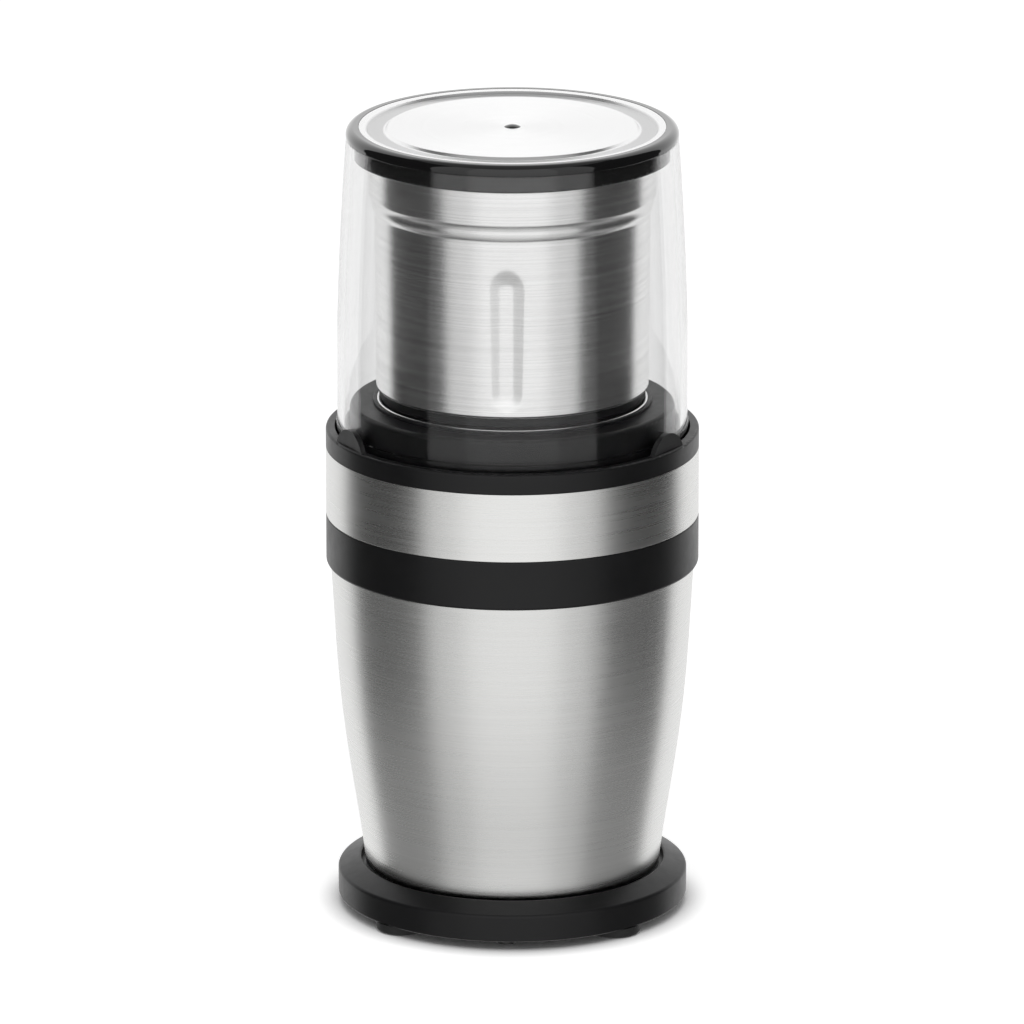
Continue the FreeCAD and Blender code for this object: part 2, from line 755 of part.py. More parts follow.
def top_collar():
    """Black collar with the lid groove, the raised platform and the well for the cup."""
    skirt_out = BAND_RADIUS - of("steel_band_wall") - FIT
    skirt_in = GROOVE_RADIUS
    wall = of("well_wall")
    drip = of("well_hole_radius") + of("drip_rim_wall")
    bend = of("platform_round")
    lip = WELL_RADIUS + of("well_lip_width")
    body = ring("top_collar", [
        (skirt_in, BAND_TOP_Z),
        (skirt_out, BAND_TOP_Z),
        (skirt_out, COLLAR_Z),
        (BAND_RADIUS, COLLAR_Z),
        (BAND_RADIUS, COLLAR_TOP_Z - of("collar_round"), of("collar_round")),
        (BAND_RADIUS - of("collar_round"), COLLAR_TOP_Z),
        (skirt_in, COLLAR_TOP_Z),
        (skirt_in, GROOVE_Z),
        (PLATFORM_RADIUS, GROOVE_Z),
        (PLATFORM_RADIUS, PLATFORM_Z - bend, bend),
        (PLATFORM_RADIUS - bend, PLATFORM_Z),
        (lip, PLATFORM_Z),
        (lip, LIP_Z - ROUND / 2, ROUND / 2),
        (lip - ROUND / 2, LIP_Z),
        (WELL_RADIUS, LIP_Z),
        (WELL_RADIUS, TRIM_Z),
        (TRIM_RADIUS, TRIM_Z),
        (TRIM_RADIUS, WELL_Z),
        (drip, WELL_Z),
        (drip, WELL_Z + of("drip_rim_height")),
        (of("well_hole_radius"), WELL_Z + of("drip_rim_height")),
        (of("well_hole_radius"), WELL_Z - wall),
        (WELL_RADIUS + wall, WELL_Z - wall),
        (WELL_RADIUS + wall, PLATFORM_Z - wall),
        (PLATFORM_RADIUS - wall, PLATFORM_Z - wall),
        (PLATFORM_RADIUS - wall, GROOVE_BOTTOM_Z),
        (skirt_in, GROOVE_BOTTOM_Z),
    ])
    half = of("ear_length") / 2
    middle = LID_RADIUS + of("ear_gap")
    arch = outline(sketch_on(body, "XZ_Plane", -middle - of("ear_thickness")), [
        (-half, COLLAR_TOP_Z - ROUND),
        (half, COLLAR_TOP_Z - ROUND),
        (half, COLLAR_TOP_Z, of("ear_radius")),
        (-half, COLLAR_TOP_Z),
    ])
    ear = feature(body, "Pad", arch, Length=of("ear_thickness"))
    polar(body, [ear], of("ear_count"))
    pocket = of("spring_radius") + of("spring_pocket_gap")
    tube_z = SPRING_Z - of("groove_floor_thickness")
    tube = disc(body, 0, -SPRING_CIRCLE, tube_z, GROOVE_BOTTOM_Z, pocket + of("spring_pocket_wall"))
    polar(body, [tube], of("spring_count"))
    hollow = disc(body, 0, -SPRING_CIRCLE, SPRING_Z, GROOVE_Z, pocket, "Pocket")
    polar(body, [hollow], of("spring_count"))
    disc(body, 0, SPRING_CIRCLE, GROOVE_BOTTOM_Z, GROOVE_Z, of("press_rod_radius") + GAP, "Pocket")
    boss = disc(body, SCREW_CIRCLE, 0, BAND_TOP_Z, GROOVE_BOTTOM_Z, of("collar_boss_radius"))
    polar(body, [boss], of("collar_screw_count"))
    pilot = disc(body, SCREW_CIRCLE, 0, BAND_TOP_Z, GROOVE_BOTTOM_Z,
                 of("screw_radius") + FIT, "Pocket")
    polar(body, [pilot], of("collar_screw_count"))
    return body


def well_trim_ring():
    """Bright ring set into the mouth of the well."""
    low = TRIM_RADIUS
    high = WELL_RADIUS - FIT
    top = TRIM_Z + of("trim_ring_height")
    return ring("well_trim_ring", [
        (low, TRIM_Z),
        (high, TRIM_Z),
        (high, top - ROUND / 2, ROUND / 2),
        (high - ROUND / 2, top),
        (low + ROUND / 2, top, ROUND / 2),
        (low, top - ROUND / 2),
    ])


def press_ring():
    """Sprung ring under the lid's wall, with the rod that works the switch."""
    body = ring("press_ring", [
        (PRESS_INNER, PRESS_Z),
        (PRESS_OUTER, PRESS_Z),
        (PRESS_OUTER, LID_Z),
        (PRESS_INNER, LID_Z),
    ])
    disc(body, 0, SPRING_CIRCLE, ROD_Z, PRESS_Z, of("press_rod_radius"))
    return body


def press_springs():
    """Three coil springs that lift the press ring and the lid."""
    body = new_body("press_springs")
    centre = SPRING_CIRCLE
    wire = of("spring_wire") / 2
    coil = of("spring_radius") - wire
    sketch = circle(sketch_on(body, "YZ_Plane"), -centre - coil, SPRING_Z + wire + FIT, wire)
    upright_line(sketch, -centre)
    made = body.newObject("PartDesign::AdditiveHelix", "press_springs_helix")
    made.Profile = sketch
    made.ReferenceAxis = (sketch, ["Axis0"])
    made.Mode = "height-turns-growth"
    bind(made, "Height", of("spring_length") - (wire + FIT) * 2)
    bind(made, "Turns", of("spring_turns"))
    doc.recompute()
    polar(body, [made], of("spring_count"))
    return body


def microswitch():
    """Small switch under the lid groove, with ears for its lever."""
    end = of("lever_arm") + of("lever_pin_radius") + of("switch_ear")
    body = new_body("microswitch")
    low = SWITCH_CIRCLE - of("switch_width") / 2
    high = SWITCH_CIRCLE + of("switch_width") / 2
    block(body, box_points(-end, low, of("switch_length") - end, high), BAND_TOP_Z, SWITCH_TOP_Z)
    front = -of("lever_arm") + of("lever_pin_radius") + of("switch_ear")
    top = PIVOT_Z + of("lever_pin_radius") + FIT
    for start, stop in ((low, low + of("switch_ear")), (high - of("switch_ear"), high)):
        block(body, box_points(-end, start, front, stop), SWITCH_TOP_Z, top)
    hole = of("lever_pin_radius") + GAP
    sketch = circle(sketch_on(body, "XZ_Plane", -high), -of("lever_arm"), PIVOT_Z, hole)
    feature(body, "Pocket", sketch, Length=of("switch_width"), Reversed=True)
    return body


def switch_lever():
    """Thin steel lever that turns on a pin in the switch's ears."""
    body = new_body("switch_lever")
    sine = turned("sin", of("lever_tilt"))
    cosine = turned("cos", of("lever_tilt"))
    half = of("lever_thickness") / 2
    x = -of("lever_arm")
    reach = of("lever_length")
    middle = SWITCH_CIRCLE
    strip = outline(sketch_on(body, "XZ_Plane", -middle - of("lever_width") / 2), [
        (x + half * sine, PIVOT_Z - half * cosine),
        (x + reach * cosine + half * sine, PIVOT_Z + reach * sine - half * cosine),
        (x + reach * cosine - half * sine, PIVOT_Z + reach * sine + half * cosine),
        (x - half * sine, PIVOT_Z + half * cosine),
    ])
    feature(body, "Pad", strip, Length=of("lever_width"))
    width = of("switch_width") - FIT * 2
    pin = circle(sketch_on(body, "XZ_Plane", -middle - width / 2), x, PIVOT_Z, of("lever_pin_radius"))
    feature(body, "Pad", pin, Length=width)
    return body


def circuit_board():
    """Small board that stands beside the well."""
    body = new_body("circuit_board")
    x = -SCREW_CIRCLE
    half = of("board_length") / 2
    points = box_points(x - of("board_thickness"), -half, x, half)
    block(body, points, BAND_TOP_Z, BAND_TOP_Z + of("board_width"))
    return body


RIM_Z = LID_TOP_Z
RIM_TOP_Z = RIM_Z + of("rim_height")
CAP_TOP_Z = RIM_TOP_Z - of("cap_drop")
CAP_Z = CAP_TOP_Z - of("cap_thickness")
CARRIER_Z = RIM_Z - of("carrier_skirt")
CARRIER_TOP_Z = RIM_Z + of("carrier_plate")
SEAL_Z = RIM_Z - ROUND
STEM = of("plug_stem_radius") + GAP


def lid_form(body, inset, kind="AdditiveLoft"):
    """Add or cut the curved wall of the lid, its radii reduced by the inset."""
    start = LID_Z + of("lid_straight")
    fall = LID_RADIUS - SHOULDER_RADIUS
    sections = []
    for share in (0.0, 0.35, 0.7, 1.0):
        radius = LID_RADIUS - inset - fall * share ** 2
        sections.append((start + of("lid_curve_height") * share, radius))
    return loft(body, sections, kind)


def lid_cover():
    """Clear wall of the lid, straight at the foot and drawn in towards the top."""
    body = new_body("lid_cover")
    foot = LID_RADIUS
    start = LID_Z + of("lid_straight")
    bend = ROUND
    wall = of("lid_wall")
    lid_form(body, 0)
    lid_form(body, wall, "SubtractiveLoft")
    revolve(body, [
        (foot - wall, LID_Z),
        (foot - bend, LID_Z, bend),
        (foot, LID_Z + bend),
        (foot, start),
        (foot - wall, start),
    ])
    return body


def lid_rim_ring():
    """Glossy black ring on the clear wall, with a seat for the cap disc."""
    outer = RIM_RADIUS
    bend = of("rim_round")
    return ring("lid_rim_ring", [
        (RIM_BORE, RIM_Z),
        (outer - ROUND / 2, RIM_Z, ROUND / 2),
        (outer, RIM_Z + ROUND / 2),
        (outer, RIM_TOP_Z - bend, bend),
        (outer - bend, RIM_TOP_Z),
        (CAP_RADIUS + GAP + ROUND / 3, RIM_TOP_Z, ROUND / 3),
        (CAP_RADIUS + GAP, RIM_TOP_Z - ROUND / 3),
        (CAP_RADIUS + GAP, CAP_Z),
        (RIM_BORE, CAP_Z),
    ])


def lid_cap_disc():
    """Polished steel disc with a stamped ring and a hole for the centre plug."""
    drop = of("cap_groove_depth")
    outer = CAP_GROOVE_OUTER
    inner = CAP_GROOVE_INNER
    return ring("lid_cap_disc", [
        (STEM, CAP_Z),
        (inner - drop, CAP_Z),
        (inner, CAP_Z - drop),
        (outer, CAP_Z - drop),
        (outer + drop, CAP_Z),
        (CAP_RADIUS, CAP_Z),
        (CAP_RADIUS, CAP_TOP_Z),
        (outer + drop, CAP_TOP_Z),
        (outer, CAP_TOP_Z - drop),
        (inner, CAP_TOP_Z - drop),
        (inner - drop, CAP_TOP_Z),
        (STEM, CAP_TOP_Z),
    ])


def lid_plug():
    """Domed black plug that pins the cap disc to the seal carrier."""
    radius = of("plug_radius")
    dome = of("plug_dome")
    stem = of("plug_stem_radius")
    curve = (radius * radius + dome * dome) / (dome * 2)
    return ring("lid_plug", [
        (0, CARRIER_TOP_Z - of("carrier_plate")),
        (stem, CARRIER_TOP_Z - of("carrier_plate")),
        (stem, CAP_TOP_Z),
        (radius, CAP_TOP_Z, curve),
        (0, CAP_TOP_Z + dome),
    ])


def seal_carrier():
    """Black carrier inside the top of the lid, with a skirt round the cup's mouth."""
    outer = CARRIER_RADIUS
    step = RIM_BORE - FIT
    return ring("seal_carrier", [
        (CARRIER_BORE, CARRIER_Z + ROUND / 2, ROUND / 2),
        (CARRIER_BORE + ROUND / 2, CARRIER_Z),
        (outer - ROUND, CARRIER_Z, ROUND),
        (outer, CARRIER_Z + ROUND),
        (outer, RIM_Z),
        (step, RIM_Z),
        (step, CARRIER_TOP_Z),
        (STEM, CARRIER_TOP_Z),
        (STEM, SEAL_Z),
        (CARRIER_BORE, SEAL_Z),
    ])


def lid_seal():
    """Rubber ring under the carrier that closes on the cup's mouth."""
    outer = CARRIER_BORE - FIT
    inner = outer - of("seal_width")
    low = SEAL_Z - of("seal_depth")
    return ring("lid_seal", [
        (inner, low + ROUND / 2, ROUND / 2),
        (inner + ROUND / 2, low),
        (outer - ROUND / 2, low, ROUND / 2),
        (outer, low + ROUND / 2),
        (outer, SEAL_Z),
        (inner, SEAL_Z),
    ])


def cup_form(name, inset, height):
    """Make the solid form of the cup, drawn in by the inset, with its upright flutes."""
    body = new_body(name)
    foot = CUP_RADIUS - inset
    waist = WAIST_RADIUS - inset
    mouth = MOUTH_RADIUS - inset
    bend = of("cup_floor_round")
    base = CUP_Z + inset
    waist_z = CUP_Z + of("cup_waist_height")
    top_z = waist_z + of("cup_shoulder_height")
    middle_z = (waist_z + top_z) / 2
    middle = (waist + mouth) / 2
    rise = (mouth - waist) / 2
    run = of("cup_shoulder_height") / 2
    curve = (rise * rise + run * run) / (rise * 2)
    revolve(body, [
        (0, base),
        (foot - bend, base, bend),
        (foot, base + bend),
        (waist, waist_z, -curve),
        (middle, middle_z, curve),
        (mouth, top_z),
        (mouth, CUP_Z + height),
        (0, CUP_Z + height),
    ])
    slope = of("flute_slope")
    growth = inset / turned("cos", slope) - inset * turned("tan", slope)
    half = of("flute_width") / 2 + growth
    low = CUP_Z + of("flute_foot") + of("flute_width") / 2
    high = CUP_Z + of("flute_foot") + of("flute_length") - of("flute_width") / 2
    sketch = outline(sketch_on(body, "XZ_Plane", waist), [
        (-half, low, half),
        (0, low - half, half),
        (half, low),
        (half, high, half),
        (0, high + half, half),
        (-half, high),
    ])
    flute = feature(body, "Pocket", sketch, Length=of("flute_depth"), TaperAngle=-slope)
    polar(body, [flute], of("flute_count"))
    return body


def grinding_cup():
    """Thin steel cup with a shoulder under its mouth and flutes pressed into its wall."""
    outer = cup_form("cup_outside", size(0), of("cup_height"))
    inner = cup_form("cup_inside", of("cup_wall"), of("cup_height") + 1)
    hollow = combine("cup_blank", "Cut", outer, inner)
    hole = doc.addObject("Part::Cylinder", "cup_hole")
    bind(hole, "Radius", of("bush_radius") + GAP)
    bind(hole, "Height", of("cup_base_height"))
    bind(hole, "Placement.Base.z", CUP_Z - of("cup_wall"))
    return combine("grinding_cup", "Cut", hollow, hole)


HUB_Z = CUP_FLOOR_Z - of("bush_length")
BUSH_TOP_Z = CUP_FLOOR_Z + of("bush_flange")
RING_TOP_Z = BUSH_TOP_Z + of("seal_ring_height")
BLADE_Z = RING_TOP_Z + of("blade_lift")
BLADE_TOP_Z = BLADE_Z + of("blade_thickness")
LUG_TOP_Z = DRIVEN_Z + of("coupling_lug_height")
DRIVE_TOP_Z = LUG_TOP_Z - of("coupling_gap")
DRIVE_Z = DRIVE_TOP_Z - of("coupling_lug_height")
SPINDLE = of("spindle_radius")


def cup_base():
    """Black base under the cup, with a plate, a skirt and a hub for the spindle's bush."""
    skirt = CUP_SKIRT_RADIUS
    inner = skirt - of("cup_base_wall")
    plate_z = CUP_Z - of("cup_base_plate")
    return ring("cup_base", [
        (inner, WELL_Z),
        (skirt - ROUND, WELL_Z, ROUND),
        (skirt, WELL_Z + ROUND),
        (skirt, CUP_Z - of("cup_base_step") - ROUND),
        (CUP_BASE_RADIUS, CUP_Z - of("cup_base_step")),
        (CUP_BASE_RADIUS, CUP_Z - ROUND / 2, ROUND / 2),
        (CUP_BASE_RADIUS - ROUND / 2, CUP_Z),
        (of("bush_radius") + GAP, CUP_Z),
        (of("bush_radius") + GAP, HUB_Z),
        (of("hub_radius"), HUB_Z),
        (of("hub_radius"), plate_z),
        (inner, plate_z),
    ])


def spindle_bush():
    """Flanged brass bush through the floor of the cup."""
    bore = SPINDLE + GAP
    return ring("spindle_bush", [
        (bore, HUB_Z),
        (of("bush_radius"), HUB_Z),
        (of("bush_radius"), CUP_FLOOR_Z),
        (of("bush_flange_radius"), CUP_FLOOR_Z),
        (of("bush_flange_radius"), BUSH_TOP_Z),
        (bore, BUSH_TOP_Z),
    ])


def spindle_seal():
    """Rubber seal ring on the bush, round the spindle."""
    bore = SPINDLE + GAP
    outer = of("seal_ring_radius")
    return ring("spindle_seal", [
        (bore, BUSH_TOP_Z),
        (outer, BUSH_TOP_Z),
        (outer, RING_TOP_Z - ROUND, ROUND),
        (outer - ROUND, RING_TOP_Z),
        (bore, RING_TOP_Z),
    ])


def cup_spindle():
    """Steel spindle that carries the blade, with a shoulder under it."""
    body = new_body("cup_spindle")
    disc(body, 0, 0, LUG_TOP_Z, BLADE_TOP_Z + of("blade_stud_height"), SPINDLE)
    disc(body, 0, 0, RING_TOP_Z + of("coupling_gap"), BLADE_Z, of("blade_nut_radius"))
    return body


def blade():
    """Two-winged steel blade, one wing bent up and the other one down."""
    body = new_body("blade")
    half = of("blade_span") / 2
    hub = of("blade_hub_radius")
    rise = of("blade_tip_rise")
    thick = of("blade_thickness")
    fall = of("seal_ring_height")
    strip = outline(sketch_on(body, "XZ_Plane", -(of("blade_width") / 2)), [
        (-half, BLADE_Z - fall),
        (-hub, BLADE_Z),
        (hub, BLADE_Z),
        (half, BLADE_Z + rise),
        (half, BLADE_Z + rise + thick),
        (hub, BLADE_Z + thick),
        (-hub, BLADE_Z + thick),
        (-half, BLADE_Z - fall + thick),
    ])
    feature(body, "Pad", strip, Length=of("blade_width"))
    width = of("blade_width") / 2
    tip = width - of("blade_tip_width")
    low = BLADE_Z - rise
    high = BLADE_Z + rise * 2
    edge = block(body, [(hub, -width), (half + 1, -width), (half + 1, tip)], low, high, "Pocket")
    polar(body, [edge], size(2))
    disc(body, 0, 0, low, high, SPINDLE + GAP, "Pocket")
    return body


def blade_nut():
    """Domed nut that clamps the blade."""
    radius = of("blade_nut_radius")
    top = BLADE_TOP_Z + of("blade_nut_height")
    stud = BLADE_TOP_Z + of("blade_stud_height")
    shoulder = BLADE_TOP_Z + of("blade_nut_height") / 2
    crown = radius / 2
    return ring("blade_nut", [
        (SPINDLE + GAP, BLADE_TOP_Z),
        (radius, BLADE_TOP_Z),
        (radius, shoulder),
        (radius - ROUND, top - ROUND * 2),
        (crown, top),
        (0, top),
        (0, stud + FIT),
        (SPINDLE + GAP, stud + FIT),
    ])


def coupling(label, plate_low, lug_low, angle, bore):
    """Make a round coupling with a plate, a ring of lugs and a bore for its shaft."""
    body = new_body(label)
    outer = of("coupling_radius")
    inner = of("coupling_lug_inner")
    disc(body, 0, 0, plate_low, plate_low + of("coupling_plate"), outer)
    half = of("coupling_lug_angle") / 2
    lug = block(body, sector(-half, half, inner, outer), lug_low, lug_low + of("coupling_lug_height"))
    polar(body, [lug], of("coupling_lug_count"))
    disc(body, 0, 0, plate_low, plate_low + of("coupling_plate"), bore, "Pocket")
    turn_to(body, angle)
    return body


def driven_coupling():
    """Lugged coupling under the cup."""
    return coupling("driven_coupling", LUG_TOP_Z, DRIVEN_Z, size(0), SPINDLE)


def drive_coupling():
    """Lugged coupling on the motor shaft, half a lug pitch round from the driven one."""
    pitch = size(180) / of("coupling_lug_count")
    plate = DRIVE_Z - of("coupling_plate")
    return coupling("drive_coupling", plate, DRIVE_Z, pitch, of("motor_shaft_radius"))


BOTTOM_PLATE_Z = LEDGE_Z + of("bottom_bracket_height")
BOTTOM_PLATE_TOP_Z = BOTTOM_PLATE_Z + of("bracket_thickness")
TOP_PLATE_Z = LEDGE_Z + of("top_bracket_height")
TOP_PLATE_TOP_Z = TOP_PLATE_Z + of("bracket_thickness")
STATOR_Z = LEDGE_Z + of("stator_foot")
STATOR_TOP_Z = STATOR_Z + of("stator_height")
SHAFT = of("motor_shaft_radius")
BEARING_TOP_Z = TOP_PLATE_TOP_Z + of("bearing_height")
BEARING_FOOT_Z = BOTTOM_PLATE_Z - of("bearing_height")
SHAFT_FOOT_Z = BEARING_FOOT_Z - of("bearing_seat_wall")


def bracket(label, plate, low, high, seat_low, seat_high, lip_low, lip_high):
    """Make a motor bracket: a plate with windows, four posts and a seat for a bearing."""
    body = new_body(label)
    top = plate + of("bracket_thickness")
    seat = of("bearing_radius") + of("bearing_seat_wall")
    disc(body, 0, 0, plate, top, of("bracket_radius"))
    disc(body, 0, 0, seat_low, seat_high, seat)
    x, y = around(of("motor_post_circle"), of("corner_angle"))
    post = disc(body, x, y, low, high, of("motor_post_radius"))
    polar(body, [post], of("foot_count"))
    disc(body, 0, 0, seat_low, seat_high, of("bearing_radius") + GAP, "Pocket")
    disc(body, 0, 0, lip_low, lip_high, seat)
    disc(body, 0, 0, lip_low, lip_high, SHAFT + of("coupling_gap"), "Pocket")
    window = disc(body, 0, of("bracket_window_circle"), plate, top, of("bracket_window_radius"), "Pocket")
    polar(body, [window], of("bracket_window_count"))
    hole_low = low if low.value < plate.value else plate
    hole_high = high if high.value > top.value else top
    bolt = disc(body, x, y, hole_low, hole_high, of("screw_radius") + FIT, "Pocket")
    polar(body, [bolt], of("foot_count"))
    return body


def top_bracket():
    """Bracket above the motor, hung on the casing's lip."""
    lip = BEARING_TOP_Z + of("bearing_seat_wall") / 2
    return bracket("top_bracket", TOP_PLATE_Z, STATOR_TOP_Z, TOP_PLATE_Z, TOP_PLATE_Z, BEARING_TOP_Z,
                   BEARING_TOP_Z, lip)


def bottom_bracket():
    """Bracket below the motor, on the casing's bosses."""
    return bracket("bottom_bracket", BOTTOM_PLATE_Z, BOTTOM_PLATE_TOP_Z, STATOR_Z, BEARING_FOOT_Z,
                   BOTTOM_PLATE_TOP_Z, SHAFT_FOOT_Z, BEARING_FOOT_Z)


def bearings():
    """The two ball bearings of the motor shaft, drawn as closed rings."""
    body = new_body("bearings")
    for low in (BOTTOM_PLATE_Z - of("bearing_height"), TOP_PLATE_TOP_Z):
        bore = SHAFT + GAP
        outer = of("bearing_radius")
        high = low + of("bearing_height")
        revolve(body, [(bore, low), (outer, low), (outer, high), (bore, high)])
    return body


def motor_shaft():
    """Steel shaft from the lower bearing up to the drive coupling."""
    body = new_body("motor_shaft")
    disc(body, 0, 0, BEARING_FOOT_Z, DRIVE_Z, SHAFT)
    return body


COIL_OUTER = of("coil_inner_radius") + of("coil_width")


def coil_legs(spare):
    """Return the angles between which the two legs of a coil lie, widened by the spare."""
    leg = of("coil_leg_angle")
    left = size(90) - of("coil_spread") / 2
    right = size(90) + of("coil_spread") / 2
    return [(left - spare, left + leg + spare), (right - leg - spare, right + spare)]


def stator_core():
    """Laminated field core with two flats and open slots for the coils."""
    body = new_body("stator_core")
    radius = of("stator_radius")
    flat = of("stator_flat")
    disc(body, 0, 0, STATOR_Z, STATOR_TOP_Z, radius)
    for low, high in ((flat, radius * 2), (-(radius * 2), -flat)):
        block(body, box_points(low, -radius, high, radius), STATOR_Z, STATOR_TOP_Z, "Pocket")
    disc(body, 0, 0, STATOR_Z, STATOR_TOP_Z, of("stator_bore"), "Pocket")
    x, y = around(of("motor_post_circle"), of("corner_angle"))
    bolt = disc(body, x, y, STATOR_Z, STATOR_TOP_Z, of("screw_radius") + FIT, "Pocket")
    polar(body, [bolt], of("foot_count"))
    gap = of("coil_gap")
    for start, end in coil_legs(size(1)):
        slot = block(body, sector(start, end, of("rotor_radius"), COIL_OUTER + gap), STATOR_Z,
                     STATOR_TOP_Z, "Pocket")
        polar(body, [slot], of("coil_count"))
    return body


def field_coils():
    """Two field coils, each a block of windings round one pole."""
    body = new_body("field_coils")
    inner = of("coil_inner_radius")
    rise = of("coil_rise")
    legs = coil_legs(size(0))
    upper = (STATOR_TOP_Z + of("coil_gap"), STATOR_TOP_Z + rise)
    lower = (STATOR_Z - rise, STATOR_Z - of("coil_gap"))
    band = sector(legs[0][0], legs[1][1], inner, COIL_OUTER)
    made = [block(body, band, low, high) for low, high in (upper, lower)]
    for start, end in legs:
        made.append(block(body, sector(start, end, inner, COIL_OUTER), STATOR_Z - rise, STATOR_TOP_Z + rise))
    polar(body, made, of("coil_count"))
    return body


def rotor_core():
    """Laminated rotor with its slots."""
    body = new_body("rotor_core")
    radius = of("rotor_radius")
    half = of("rotor_slot_width") / 2
    disc(body, 0, 0, STATOR_Z, STATOR_TOP_Z, radius)
    slot = box_points(radius - of("rotor_slot_depth"), -half, radius + 1, half)
    cut = block(body, slot, STATOR_Z, STATOR_TOP_Z, "Pocket")
    polar(body, [cut], of("rotor_slot_count"))
    disc(body, 0, 0, STATOR_Z, STATOR_TOP_Z, SHAFT, "Pocket")
    return body


def rotor_windings():
    """The rotor's end windings, above and below its core."""
    body = new_body("rotor_windings")
    outer = of("winding_radius")
    bend = of("winding_height") / 2
    bore = SHAFT + GAP
    high = STATOR_TOP_Z + of("winding_height")
    low = STATOR_Z - of("winding_height")
    revolve(body, [
        (bore, STATOR_TOP_Z),
        (outer, STATOR_TOP_Z),
        (outer, high - bend, bend),
        (outer - bend, high),
        (bore, high),
    ])
    revolve(body, [
        (bore, low),
        (outer - bend, low, bend),
        (outer, low + bend),
        (outer, STATOR_Z),
        (bore, STATOR_Z),
    ])
    return body


COMMUTATOR_TOP_Z = STATOR_Z - of("winding_height") - of("commutator_gap")
COMMUTATOR_Z = COMMUTATOR_TOP_Z - of("commutator_height")
BRUSH_Z = (COMMUTATOR_Z + COMMUTATOR_TOP_Z) / 2


def commutator():
    """Copper commutator with its bars."""
    body = new_body("commutator")
    radius = of("commutator_radius")
    half = of("commutator_slot") / 2
    disc(body, 0, 0, COMMUTATOR_Z, COMMUTATOR_TOP_Z, radius)
    slot = box_points(radius - of("commutator_slot_depth"), -half, radius + 1, half)
    cut = block(body, slot, COMMUTATOR_Z, COMMUTATOR_TOP_Z, "Pocket")
    polar(body, [cut], of("commutator_bars"))
    disc(body, 0, 0, COMMUTATOR_Z, COMMUTATOR_TOP_Z, SHAFT, "Pocket")
    return body


def brush_holders():
    """Two sleeves on the bottom bracket that guide the brushes."""
    body = new_body("brush_holders")
    half = of("brush_width") / 2 + FIT
    wall = of("brush_wall")
    low = of("commutator_radius") + of("brush_holder_gap")
    high = low + of("brush_holder_length")
    top = BRUSH_Z + of("brush_height") / 2 + FIT
    foot = block(body, box_points(low, -half - wall, high, half + wall), BOTTOM_PLATE_TOP_Z, top + wall)
    bottom = BRUSH_Z - of("brush_height") / 2 - FIT
    slot = block(body, box_points(low, -half, high - wall, half), bottom, top, "Pocket")
    polar(body, [foot, slot], of("brush_count"))
    return body


def carbon_brushes():
    """Two carbon brushes that bear on the commutator."""
    body = new_body("carbon_brushes")
    half = of("brush_width") / 2
    low = of("commutator_radius") + of("coil_gap")
    points = box_points(low, -half, low + of("brush_length"), half)
    rise = of("brush_height") / 2
    made = block(body, points, BRUSH_Z - rise, BRUSH_Z + rise)
    polar(body, [made], of("brush_count"))
    return body


def cooling_fan():
    """Radial fan on the shaft above the motor."""
    body = new_body("cooling_fan")
    low = BEARING_TOP_Z + of("bearing_seat_wall") / 2 + of("fan_gap")
    high = low + of("fan_height")
    disc(body, 0, 0, low, low + of("fan_plate"), of("fan_radius"))
    disc(body, 0, 0, low, high, of("fan_hub_radius"))
    half = of("fan_blade_thickness") / 2
    vane = block(body, box_points(of("fan_hub_radius") + 1, -half, of("fan_radius") - half, half), low, high)
    polar(body, [vane], of("fan_blade_count"))
    disc(body, 0, 0, low, high, SHAFT, "Pocket")
    return body


def motor_screws():
    """Four long screws with nuts that clamp the brackets on the stator."""
    length = TOP_PLATE_TOP_Z + of("motor_nut_height") - BOTTOM_PLATE_Z
    distance = of("motor_post_circle")
    count = of("foot_count")
    body = screws("motor_screws", distance, BOTTOM_PLATE_Z, length, count, of("corner_angle"))
    top = TOP_PLATE_TOP_Z + of("motor_nut_height")
    nut = disc(body, distance, 0, TOP_PLATE_TOP_Z, top, of("screw_head_radius"))
    polar(body, [nut], count)
    return body


def collar_screws():
    """Screws from below through the casing's flange and the black band into the collar."""
    seat = CASING_TOP_Z - of("casing_flange")
    length = of("casing_flange") + of("band_flange") + of("screw_length")
    return screws("collar_screws", SCREW_CIRCLE, seat, length, of("collar_screw_count"), size(0))


def base_screws():
    """Screws from below through the base ring's ledge into the casing."""
    length = of("base_wall") + of("screw_length")
    return screws("base_screws", BOSS_CIRCLE, LEDGE_BOTTOM_Z, length, of("foot_count"), of("corner_angle"))


def cover_screws():
    """Screws that hold the bottom cover to the base ring."""
    length = LEDGE_BOTTOM_Z - BASE_Z - ROUND
    return screws("cover_screws", BASE_BOSS_CIRCLE, BASE_Z, length, of("foot_count"), size(0))


SUB_PARTS = [
    rubber_feet, bottom_cover, cover_screws, base_ring, base_screws, body_shell, black_band, steel_band,
    inner_casing, cord_gland, top_collar, well_trim_ring, collar_screws, press_ring, press_springs,
    microswitch, switch_lever, circuit_board, lid_cover, lid_rim_ring, lid_cap_disc, lid_plug,
    seal_carrier, lid_seal, grinding_cup, cup_base, spindle_bush, spindle_seal, cup_spindle, blade,
    blade_nut, driven_coupling, drive_coupling, top_bracket, bottom_bracket, bearings, motor_shaft,
    stator_core, field_coils, rotor_core, rotor_windings, commutator, brush_holders, carbon_brushes,
    cooling_fan, motor_screws,
]

made = [make() for make in SUB_PARTS]
doc.recompute()

# Every object and every sub-part is checked before anything is written

for item in doc.Objects:
    if "Invalid" in item.State or "Error" in item.State:
        raise RuntimeError(f"{item.Label} failed: {item.State}")
for item in made:
    if item.Shape.isNull() or not item.Shape.isValid():
        raise RuntimeError(f"{item.Label} has no valid shape")

